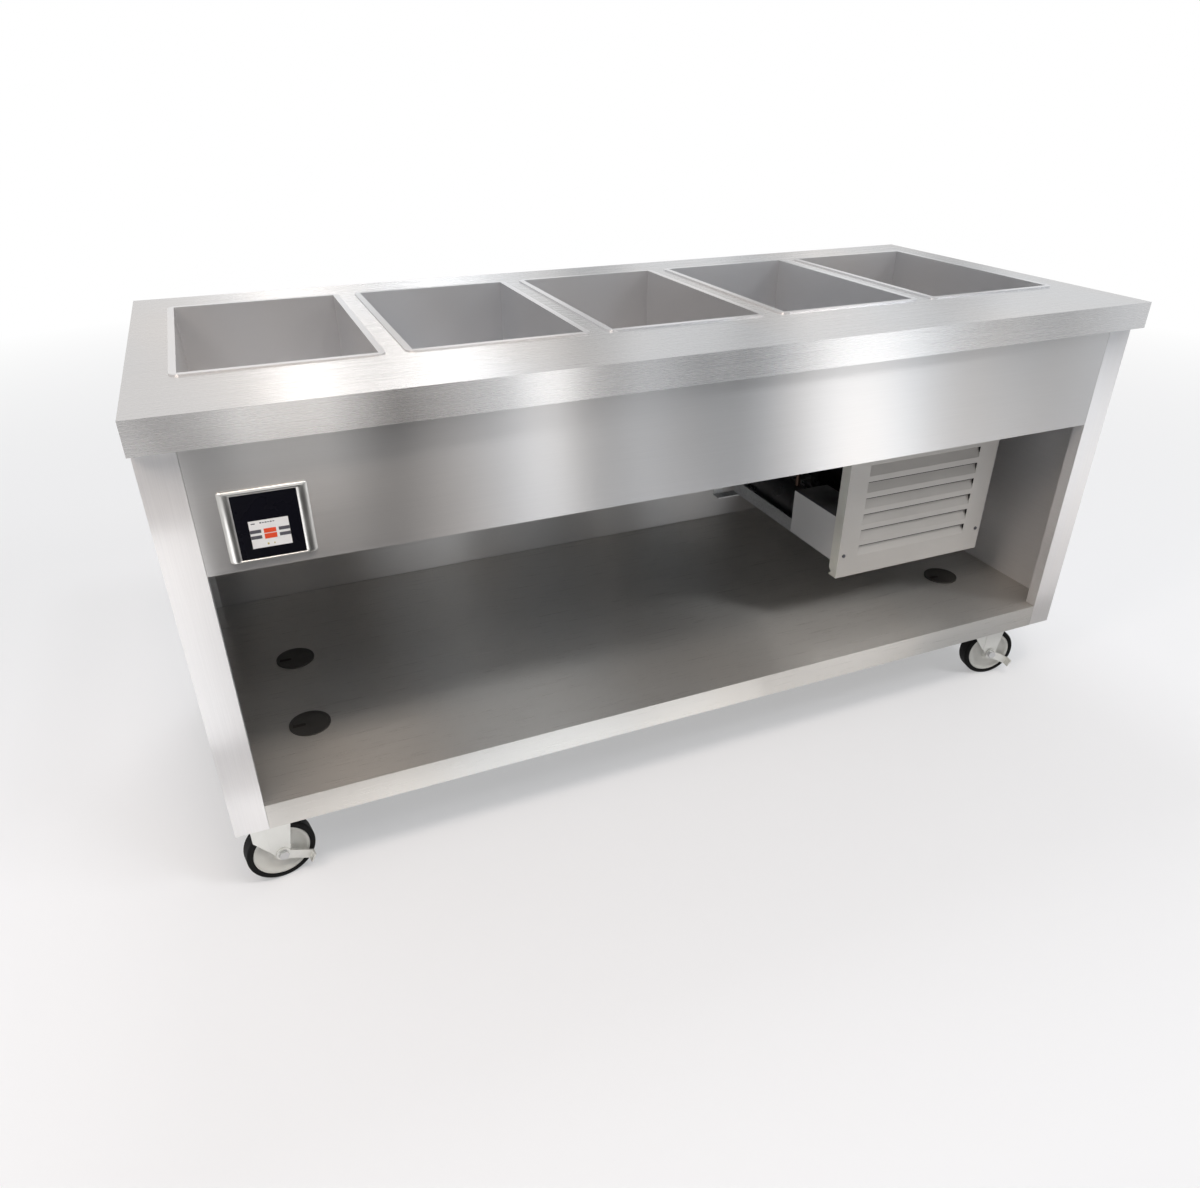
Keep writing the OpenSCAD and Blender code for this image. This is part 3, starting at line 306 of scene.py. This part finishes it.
def plated(name, color, rough, metallic=1.0):
    """Plated or polished metal with faint scratches and handling marks."""
    g = new_graph(name)
    marks = g.noise(g.coords((400, 30, 120), turn=(0.4, 0.3, 0.9)), 3.0, 0.7)
    clouds = g.noise(g.coords((18, 18, 18)), 3.0, 0.6)
    base = g.mix(g.spread(clouds, 0.0, 1.0, 0.3, 0.75), shade(color, 0.9), color)
    return g.surface(Base_Color=base, Metallic=metallic,
                     Roughness=g.spread(clouds, rough - 0.03, rough + 0.06, *NOISE_RANGE),
                     Normal=g.bump(marks, 0.04, 0.2 * MM))


def finned(name, color):
    """Coil of thin fins that stand side by side along X, with painted shade in the gaps between them."""
    pitch = 2.4 * MM
    g = new_graph(name)
    fins = g.math("FRACT", g.math("MULTIPLY", g.split(g.position())["X"], 1 / pitch))
    edge = g.spread(g.math("PINGPONG", fins, 0.5), 0.0, 1.0, 0.08, 0.26)
    dents = g.noise(g.coords((40, 40, 12)), 3.0, 0.6)
    # Near black between the fins: painted shade in the gaps; the same mask also gives the bump
    base = g.mix(edge, shade(color, 0.06), g.mix(dents, shade(color, 0.75), shade(color, 1.1)))
    return g.surface(Base_Color=base, Metallic=0.2, Roughness=0.5,
                     Normal=g.bump(edge, 0.6, 1.0 * MM))


def sheet_with_painted_side_shading(name, most, along, axis, rough):
    """Painted sheet with one colour on most faces, and another colour on those that look along an axis, which
    paints in the light or shade that falls on that side.
    """
    g = new_graph(name)
    clouds = g.noise(g.coords((9, 9, 9)), 3.0, 0.55)
    skin = g.noise(g.coords((500, 500, 500)), 2.0, 0.6)
    # The second colour is painted light or painted shade for the faces that look along the axis
    base = g.mix(faces_along(g, axis), most, along)
    toned = g.mix(g.spread(clouds, 0.0, 0.35, 0.35, 0.75), base, shade(most, 0.88))
    return g.surface(Base_Color=toned, Normal=g.bump(skin, 0.1, 0.2 * MM),
                     Roughness=g.spread(clouds, rough + 0.04, rough - 0.04, *NOISE_RANGE))


STEEL = (0.56, 0.56, 0.565)

STEEL_LOOKS = {
    "stainless_top": dict(color=shade(STEEL, 1.12), rough=0.27),
    "stainless_body": dict(color=STEEL, rough=0.32),
    "stainless_ends": dict(color=(0.79, 0.795, 0.81), rough=0.36, anisotropy=0.9, metallic=0.4,
                           contrast=1.5, grain=ALONG_Y, front_grain=ALONG_Z),
    "stainless_shelf": dict(color=(0.58, 0.575, 0.56), rough=0.29, metallic=0.75, contrast=0.6),
    "stainless_wells": dict(color=(0.66, 0.665, 0.68), rough=0.30, anisotropy=0.5, metallic=0.8,
                            contrast=0.2),
}

MOULDED_LOOKS = {
    "foam": dict(color=(0.85, 0.78, 0.55), rough=0.85, grain_scale=400.0, depth=0.4),
    "drain_pipe": dict(color=(0.42, 0.43, 0.45), rough=0.42),
    "red_grip": dict(color=(0.55, 0.03, 0.02), rough=0.35, coat=0.3),
    "black_plastic": dict(color=(0.045, 0.042, 0.038), rough=0.5, grain_scale=700.0, depth=0.25,
                          variation=0.2),
    "tyre": dict(color=(0.004, 0.004, 0.004), rough=0.6, grain_scale=500.0, depth=0.3,
                 variation=0.3, gloss=0.12),
    "wheel_plastic": dict(color=(0.68, 0.68, 0.64), rough=0.42, grain_scale=300.0, depth=0.1,
                          variation=0.1),
    "face_black": dict(color=(0.004, 0.004, 0.008), rough=0.28, grain_scale=300.0, depth=0.05,
                       variation=0.2, gloss=0.15),
    "display_grey": dict(color=(0.86, 0.87, 0.87), rough=0.3, grain_scale=300.0, depth=0.03,
                         variation=0.04, coat=0.3),
    "black_paint": dict(color=(0.012, 0.012, 0.014), rough=0.3, grain_scale=350.0, depth=0.2,
                        variation=0.3),
    "gland_plastic": dict(color=(0.03, 0.03, 0.03), rough=0.45),
    "key_red": dict(color=(0.85, 0.075, 0.015), rough=0.3, grain_scale=300.0, depth=0.02,
                    variation=0.08, coat=0.5),
    "field_grey": dict(color=(0.10, 0.10, 0.12), rough=0.3, grain_scale=300.0, depth=0.02,
                       variation=0.25, coat=0.5),
    "light_amber": dict(color=(0.55, 0.45, 0.10), rough=0.3, grain_scale=300.0, depth=0.02,
                        variation=0.1, coat=0.5),
    # Dark bristles of the grommet caps, and the painted shade of the louvre slits
    "slit_dark": dict(color=(0.030, 0.024, 0.022), rough=0.6, grain_scale=300.0, depth=0.1,
                      variation=0.2, gloss=0.2),
}

PLATED_LOOKS = {
    "drain_fittings": dict(color=(0.78, 0.78, 0.78), rough=0.16),
    "brass": dict(color=(0.75, 0.55, 0.25), rough=0.28),
    "zinc": dict(color=(0.74, 0.74, 0.71), rough=0.36, metallic=0.7),
    "fastener_steel": dict(color=(0.6, 0.6, 0.6), rough=0.3),
    "screw_dark": dict(color=(0.10, 0.10, 0.11), rough=0.4),
    "bezel": dict(color=(0.60, 0.59, 0.57), rough=0.30),
    "fan_aluminium": dict(color=(0.66, 0.66, 0.66), rough=0.3),
    "copper": dict(color=(0.15, 0.10, 0.08), rough=0.42),
}

materials = {
    "galvanised": galvanised("galvanised", (0.62, 0.63, 0.64)),
    # coil_fins: the near-black colour is painted shade of the unit's dark inside, seen through the louvres
    "coil_fins": finned("coil_fins", (0.10, 0.10, 0.10)),
    # box_grey: the near-black colour on the faces that look up or down is painted shade on the box's top
    "box_grey": sheet_with_painted_side_shading("box_grey", (0.72, 0.73, 0.74), (0.035, 0.035, 0.035), "Z", 0.45),
    # panel_white: the front colour is the white paint greyed by painted shade, and the paler, greener colour on
    # faces that look along X is painted light on the side flanges
    "panel_white": sheet_with_painted_side_shading("panel_white", (0.54, 0.52, 0.49), (0.90, 0.91, 0.85), "X", 0.34),
}
for slot, look in STEEL_LOOKS.items():
    materials[slot] = brushed_steel(slot.replace("stainless", "steel"), **look)
for slot, look in MOULDED_LOOKS.items():
    materials[slot] = moulded(slot, **look)
for slot, look in PLATED_LOOKS.items():
    materials[slot] = plated(slot, **look)

# Nodes whose look isn't the one that goes by the name of their slot
OWN_MATERIAL = {
    "end_panel_left": "stainless_ends",
    "end_panel_right": "stainless_ends",
    "bottom_shelf": "stainless_shelf",
    "fasteners": "screw_dark",
}

# Radius of the softened edges, mm
EDGE_RADIUS = {
    "countertop": 1.2,
    "end_panel_left": 0.7,
    "end_panel_right": 0.7,
    "front_apron": 0.6,
    "bottom_shelf": 0.6,
    "back_panel": 0.5,
    "louvre_panel": 0.5,
    "electrical_box": 0.5,
    "unit_tray": 0.4,
    **{f"well_{number}": 0.6 for number in WELLS},
}


def dress_nodes():
    """Gives each CAD node its material, and the sheet parts a small edge radius."""
    slots = {s["node"]: s["material_slot"] for s in frame["record"]["subparts"]}
    for name, thing in nodes.items():
        thing.data.materials.clear()
        thing.data.materials.append(materials[OWN_MATERIAL.get(name, slots[name])])
        if name in EDGE_RADIUS:
            bevel = thing.modifiers.new("edges", "BEVEL")
            bevel.width = EDGE_RADIUS[name] * MM
            bevel.segments = 2
            bevel.limit_method = "ANGLE"
            bevel.angle_limit = math.radians(40)
            bevel.harden_normals = True


dress_nodes()


# Mesh helpers

def add_piece(name, bm, body, material, smooth=True, replaced=()):
    """Turns a bmesh into a piece that rides on a body."""
    mesh = bpy.data.meshes.new(name)
    bmesh.ops.recalc_face_normals(bm, faces=bm.faces)
    bm.to_mesh(mesh)
    bm.free()
    for face in mesh.polygons:
        face.use_smooth = smooth
    piece = bpy.data.objects.new(name, mesh)
    scene.collection.objects.link(piece)
    mesh.materials.append(materials[material])
    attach(piece, body)
    if replaced:
        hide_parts(*replaced)
    return piece


def sharpen(piece, angle):
    """Keeps smooth shading only where faces meet at less than angle, in degrees."""
    mesh = piece.data
    bm = bmesh.new()
    bm.from_mesh(mesh)
    for edge in bm.edges:
        if len(edge.link_faces) == 2 and edge.calc_face_angle() > math.radians(angle):
            edge.smooth = False
    bm.to_mesh(mesh)
    bm.free()


def rounded_outline(width, height, radius):
    """Points of a rectangle with round corners, centred, anticlockwise."""
    steps = 6
    points = []
    for number, (sx, sy) in enumerate(((1, -1), (1, 1), (-1, 1), (-1, -1))):
        start = math.pi * (number - 1) / 2
        for step in range(steps + 1):
            angle = start + math.pi / 2 * step / steps
            points.append((sx * (width / 2 - radius) + radius * math.cos(angle),
                           sy * (height / 2 - radius) + radius * math.sin(angle)))
    return points


def outline_round(low, high, gap, radius):
    """Rounded outline (x, z) of a box seen from the front, wider by the gap on each side."""
    x, z = (low.x + high.x) / 2, (low.z + high.z) / 2
    outline = rounded_outline(high.x - low.x + 2 * gap, high.z - low.z + 2 * gap, radius)
    return [(x + u, z + v) for u, v in outline]


def loft(bm, loops, wrap=False):
    """Skins a list of equally long loops; the two ends are joined (wrap) or closed."""
    rings = [[bm.verts.new(p) for p in loop] for loop in loops]
    pairs = list(zip(rings, rings[1:]))
    if wrap:
        pairs.append((rings[-1], rings[0]))
    for low, high in pairs:
        count = len(low)
        for k in range(count):
            bm.faces.new((low[k], low[(k + 1) % count], high[(k + 1) % count], high[k]))
    if not wrap:
        bm.faces.new(rings[0][::-1])
        bm.faces.new(rings[-1])


def front_plate(bm, x, z, width, height, y_back, y_front, radius):
    """Thin plate that faces the operator, with round corners and a soft front edge."""
    soft, least_radius = 0.1 * MM, 0.1 * MM
    levels = (
        (y_back, 0.0),
        (y_front + soft, 0.0),
        (y_front + soft * 0.3, soft * 0.3),
        (y_front, soft),
    )
    loops = []
    for y, inset in levels:
        outline = rounded_outline(width - 2 * inset, height - 2 * inset,
                                  max(radius - inset, least_radius))
        loops.append([(x + u, y, z + v) for u, v in outline])
    loft(bm, loops)


def lathe(bm, profile, place, steps):
    """Turns a closed profile of (radius, height) about the local Z of the matrix place."""
    loops = []
    for step in range(steps):
        angle = 2 * math.pi * step / steps
        cos, sin = math.cos(angle), math.sin(angle)
        loops.append([place @ Vector((r * cos, r * sin, h)) for r, h in profile])
    loft(bm, loops, wrap=True)


def arc(center, radius, start, end, steps):
    """Points (radius, height) on an arc, angles in degrees."""
    points = []
    for step in range(steps + 1):
        angle = math.radians(start + (end - start) * step / steps)
        points.append((center[0] + radius * math.cos(angle),
                       center[1] + radius * math.sin(angle)))
    return points


# Controller

def add_bezel():
    """Bright frame: its section is swept round the face, wide and domed at the sides."""
    low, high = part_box("control_bezel")
    face_low, face_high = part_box("control_face")
    back = high.y
    # Height of the section: a flattened half sine from the outer edge (0) to the face (1)
    dome, least = 5.2 * MM, 0.6 * MM
    outer = outline_round(low, high, 0.0, 5 * MM)
    inner = outline_round(face_low, face_high, 0.2 * MM, 1.2 * MM)
    loops = [[(x, back, z) for x, z in outer]]
    for part in (0.0, 0.10, 0.22, 0.40, 0.60, 0.78, 0.90, 1.0):
        height = max(dome * math.sin(math.pi * (0.06 + 0.80 * part)) ** 0.6, least)
        loops.append([(x * (1 - part) + p * part, back - height, z * (1 - part) + q * part)
                      for (x, z), (p, q) in zip(outer, inner)])
    loops.append([(x, back, z) for x, z in inner])
    bm = bmesh.new()
    loft(bm, loops, wrap=True)
    piece = add_piece("bezel_frame", bm, "frame", "bezel", replaced=("control_bezel",))
    sharpen(piece, 50)


# Bars of the display: (x, z, width, height) as shares of its own width and height, from its middle
DISPLAY_KEYS = [(0.0, 0.10, 0.31, 0.16), (0.0, -0.10, 0.31, 0.18)]
DISPLAY_FIELDS = [(x, z, 0.275, 0.12) for x in (-0.36, 0.36) for z in (0.11, -0.10)]
DISPLAY_MARKS = [(-0.39, 0.40, 0.10, 0.035)] + [
    (-0.20 + 0.065 * k, 0.41, 0.045, 0.03 if k % 2 else 0.045) for k in range(6)]
DISPLAY_LIGHTS = [(-0.10, -0.38, 0.045, 0.07), (0.06, -0.38, 0.03, 0.05)]


def add_display_bars(name, material, bars):
    """Raised bars on the display."""
    low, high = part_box("control_display")
    mid_x, mid_z = (low.x + high.x) / 2, (low.z + high.z) / 2
    width, height = high.x - low.x, high.z - low.z
    front, thickness, radius = low.y, 0.25 * MM, 0.4 * MM
    bm = bmesh.new()
    for x, z, w, h in bars:
        front_plate(bm, mid_x + x * width, mid_z + z * height, w * width, h * height,
                    front, front - thickness, radius)
    add_piece(name, bm, "frame", material, smooth=False)


# Unit and shelf

def add_louvre_shade_strips():
    """Strip of painted shade along the upper edge of each louvre, where the slit behind it lies in shade, and a
    taller one at its open right end.
    """
    low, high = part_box("louvre_panel")
    louvres, pitch, half_width = 6, 38 * MM, 150 * MM
    lowest_edge = low.z + 72.5 * MM
    slit, end_width, end_height, radius = 1.5 * MM, 2.0 * MM, 11 * MM, 0.2 * MM
    inset, sunk = 0.3 * MM, 0.1 * MM
    front = low.y + 0.4 * MM
    back = front + 0.7 * MM
    middle = (low.x + high.x) / 2
    left, right = middle - (half_width - inset), middle + (half_width - inset)
    bm = bmesh.new()
    for k in range(louvres):
        top = lowest_edge + k * pitch - sunk
        start = left if k < louvres - 1 else right - end_width
        front_plate(bm, (start + right) / 2, top - slit / 2, right - start, slit,
                    back, front, radius)
        front_plate(bm, right - end_width / 2, top - slit - end_height / 2, end_width, end_height,
                    back, front, radius)
    add_piece("louvre_shade_strips", bm, "frame", "slit_dark", smooth=False)


def add_slot_brush(number):
    """Two rows of dark bristles that close the cord slot of a grommet cap."""
    low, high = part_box(f"grommet_cap_{number}")
    length, row, gap, radius = 25 * MM, 4.5 * MM, 0.3 * MM, 0.6 * MM
    soft, under, over = 0.3 * MM, 0.3 * MM, 0.7 * MM
    # The slot cuts through the cap's left edge, so that edge is found from the right one
    diameter = high.y - low.y
    x = high.x - diameter + 0.4 * MM + length / 2
    levels = (
        (low.z + under, soft),
        (low.z + under + soft, 0.0),
        (high.z - over - soft, 0.0),
        (high.z - over, soft),
    )
    bm = bmesh.new()
    for side in (-1, 1):
        y = (low.y + high.y) / 2 + side * (row + gap) / 2
        loops = []
        for z, inset in levels:
            outline = rounded_outline(length - 2 * inset, row - 2 * inset, radius)
            loops.append([(x + u, y + v, z) for u, v in outline])
        loft(bm, loops)
    add_piece(f"slot_brush_{number}", bm, f"cap_{number}", "slit_dark",
              smooth=False)


# Casters

# Half sections (radius, height over the wheel's middle), mm: the wheel body from its bearing seat
# out to the rim, and the bearing's shield
BODY_SECTION = [(12.5, 19.0), (17.0, 19.0), (18.0, 18.0), (18.6, 12.5), (26.0, 10.6),
                (36.0, 10.6), (42.0, 12.0), (45.0, 14.6), (46.0, 15.0)]
SHIELD_SECTION = [(5.3, 18.2), (5.3, 19.6), (8.0, 20.2), (11.6, 19.9), (12.3, 19.2), (12.3, 18.2)]


def find_joint(name):
    return next(joint for joint in frame["joints"] if joint["name"] == name)


def axle_frame(number):
    """Matrix with its origin at the middle of the wheel and +Z along the axle, to the back."""
    joint = find_joint(f"wheel_{number}_spin")
    way = Vector(joint["axis"]).normalized()
    turn = Vector(ALONG_Z).rotation_difference(way).to_matrix().to_4x4()
    return Matrix.Translation(Vector(joint["pos_m"])) @ turn


def add_hub(number):
    """Moulded wheel body with a rim, a dished web and a boss, and a bearing shield on each side."""
    low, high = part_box(f"tyre_{number}")
    tread, half = 10.9 * MM, 15.0 * MM
    outer = (high.z - low.z) / 2 - tread
    place = axle_frame(number)

    side = [(r * MM, h * MM) for r, h in BODY_SECTION]
    side += [(outer - 0.6 * MM, half), (outer, half - 0.7 * MM)]
    bm = bmesh.new()
    lathe(bm, side + [(r, -h) for r, h in reversed(side)], place, steps=96)
    hub = add_piece(f"hub_{number}", bm, f"wheel_{number}", "wheel_plastic",
                    replaced=(f"wheel_hub_{number}",))
    sharpen(hub, 40)

    bm = bmesh.new()
    for sign in (-1, 1):
        lathe(bm, [(r * MM, sign * h * MM) for r, h in SHIELD_SECTION], place, steps=48)
    shield = add_piece(f"bearing_{number}", bm, f"wheel_{number}", "fastener_steel")
    sharpen(shield, 30)


def add_raceway(number):
    """Pressed swivel race under the top plate."""
    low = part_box("caster_plates")[0]
    x, y = find_joint(f"swivel_{number}")["pos_m"][:2]
    rim = 25.2 * MM
    profile = [(rim, 9.6 * MM), (rim + 2.6 * MM, 8.6 * MM)]
    profile += arc((rim, 4.4 * MM), 4.0 * MM, 40, -80, steps=8)
    profile += [(rim, 0.4 * MM)]
    bm = bmesh.new()
    lathe(bm, profile, Matrix.Translation((x, y, low.z)), steps=64)
    sharpen(add_piece(f"race_{number}", bm, "frame", "zinc"), 50)


for number in CASTERS:
    add_hub(number)
    add_raceway(number)
add_bezel()
add_display_bars("display_keys", "key_red", DISPLAY_KEYS)
add_display_bars("display_fields", "field_grey", DISPLAY_FIELDS)
add_display_bars("display_marks", "field_grey", DISPLAY_MARKS)
add_display_bars("display_lights", "light_amber", DISPLAY_LIGHTS)
add_louvre_shade_strips()
for number in GROMMETS:
    add_slot_brush(number)


# Floor, world, cards and lamps

def flat_face(name, corners):
    """Object with one four-cornered face."""
    mesh = bpy.data.meshes.new(name)
    mesh.from_pydata(corners, [], [(0, 1, 2, 3)])
    face = bpy.data.objects.new(name, mesh)
    scene.collection.objects.link(face)
    return face


def add_floor():
    """Pale floor that goes over into the white studio with the distance."""
    half = 30.0
    floor = flat_face("floor", [(-half, -half, 0), (half, -half, 0), (half, half, 0),
                                (-half, half, 0)])

    near, far = 1.4, 5.0
    near_share, far_share = 0.34, 1.0
    g = new_graph("floor")
    diffuse = g.node("ShaderNodeBsdfDiffuse")
    diffuse.inputs["Color"].default_value = (0.85, 0.865, 0.90, 1.0)
    distance = g.node("ShaderNodeVectorMath", operation="LENGTH")
    g.link(g.position(), distance.inputs[0])
    share = g.spread(distance.outputs["Value"], near_share, far_share, near, far)
    shown = g.math("MULTIPLY", share, seen_directly(g))
    floor.data.materials.append(g.end(g.blend(shown, diffuse.outputs[0], g.emit(WHITE))))


# Glow of the studio as light: faint from the operator's side, stronger from behind and above
GLOW_FRONT = 0.15
GLOW_BACK = 0.60


def add_world():
    """White where the camera or the steel looks, and a plain soft glow as light."""
    world = bpy.data.worlds.new("studio")
    scene.world = world
    g = Graph(world, "ShaderNodeOutputWorld")
    way = g.split(g.position("Generated"))
    # How far a ray goes up and to the back
    behind = g.math("ADD", g.math("MULTIPLY", way["Y"], 0.7), g.math("MULTIPLY", way["Z"], 0.7))
    strength = g.spread(behind, GLOW_FRONT, GLOW_BACK, -0.2, 0.8)
    glow = g.emit(WHITE, strength, "ShaderNodeBackground")
    plain = g.emit(WHITE, kind="ShaderNodeBackground")
    g.end(g.blend(seen_directly(g), glow, plain))


def add_lamp(name, azimuth, elevation, distance, size, power, color=WHITE):
    """Soft square lamp; azimuth counts from the operator's side, positive to the right."""
    data = bpy.data.lights.new(name, "AREA")
    data.shape = "SQUARE"
    data.size = size
    data.energy = power
    data.color = color
    lamp = bpy.data.objects.new(name, data)
    aim = Vector((0.0, -0.1, 0.6))
    side, up = math.radians(azimuth), math.radians(elevation)
    way = Vector((math.sin(side) * math.cos(up), -math.cos(side) * math.cos(up), math.sin(up)))
    lamp.location = aim + way * distance
    lamp.rotation_euler = way.to_track_quat("Z", "Y").to_euler()
    lamp.visible_camera = False
    scene.collection.objects.link(lamp)


# Dark and bright cards round the counter, which give the steel dark and bright bands to mirror:
# (place along X, place along Y, lowest Z, highest Z, half width, tone)
CARDS = [
    (-0.69, -0.75, 0.02, 1.05, 0.42, 0.08),
    (-0.97, -0.62, 0.18, 0.64, 0.09, 3.20),
    (-0.72, -0.70, 0.76, 0.90, 0.20, 2.00),
    (0.02, -1.35, 0.47, 0.85, 0.16, 2.60),
    (0.17, -1.35, 0.0, 2.2, 0.12, 0.45),
    (0.62, -1.35, 0.0, 2.2, 0.13, 0.30),
    (0.54, -1.35, 0.47, 0.95, 0.34, 0.05),
    (1.16, -1.35, 0.0, 0.50, 0.36, 3.20),
    (1.62, -1.35, 0.50, 0.95, 0.55, 0.15),
    (1.66, -1.35, 0.0, 0.42, 0.30, 1.60),
    (-0.30, -0.50, 0.0, 0.14, 1.00, 2.00),
    (0.95, -0.50, 0.04, 0.14, 0.75, 0.10),
    (-0.10, 2.20, 1.2, 4.8, 0.16, 0.45),
    (0.85, 2.20, 1.2, 4.8, 0.22, 0.40),
    (1.75, 2.20, 1.2, 4.8, 0.25, 0.35),
    (3.00, 2.20, 1.2, 4.8, 0.35, 0.45),
]


def add_card(number, x, y, low, high, half_width, tone):
    """Upright card, seen in the gloss alone, whose upright edges fade out."""
    left, right = x - half_width, x + half_width
    card = flat_face(f"card_{number}", [(left, y, low), (right, y, low), (right, y, high),
                                        (left, y, high)])
    for kind in ("camera", "diffuse", "transmission", "volume_scatter", "shadow"):
        setattr(card, f"visible_{kind}", False)

    full = 0.35 * half_width
    g = new_graph(f"card_{number}")
    away = g.math("ABSOLUTE", g.math("SUBTRACT", g.split(g.position())["X"], x))
    faded = g.spread(away, 0.0, 1.0, full, half_width)
    clear = g.node("ShaderNodeBsdfTransparent").outputs[0]
    card.data.materials.append(g.end(g.blend(faded, g.emit((tone,) * 3), clear)))


scene.view_settings.view_transform = "Standard"
add_floor()
add_world()
for number, card in enumerate(CARDS, 1):
    add_card(number, *card)
add_lamp("lamp_left", -10, 66, 5.0, 0.9, 45, (1.0, 0.88, 0.78))
add_lamp("lamp_near", -60, 36, 2.2, 0.6, 12, (1.0, 0.86, 0.76))
add_lamp("lamp_right", 22, 60, 5.0, 0.7, 34)
add_lamp("lamp_side", 48, 36, 5.0, 0.9, 43)
add_lamp("lamp_back", 175, 60, 5.0, 1.6, 50)
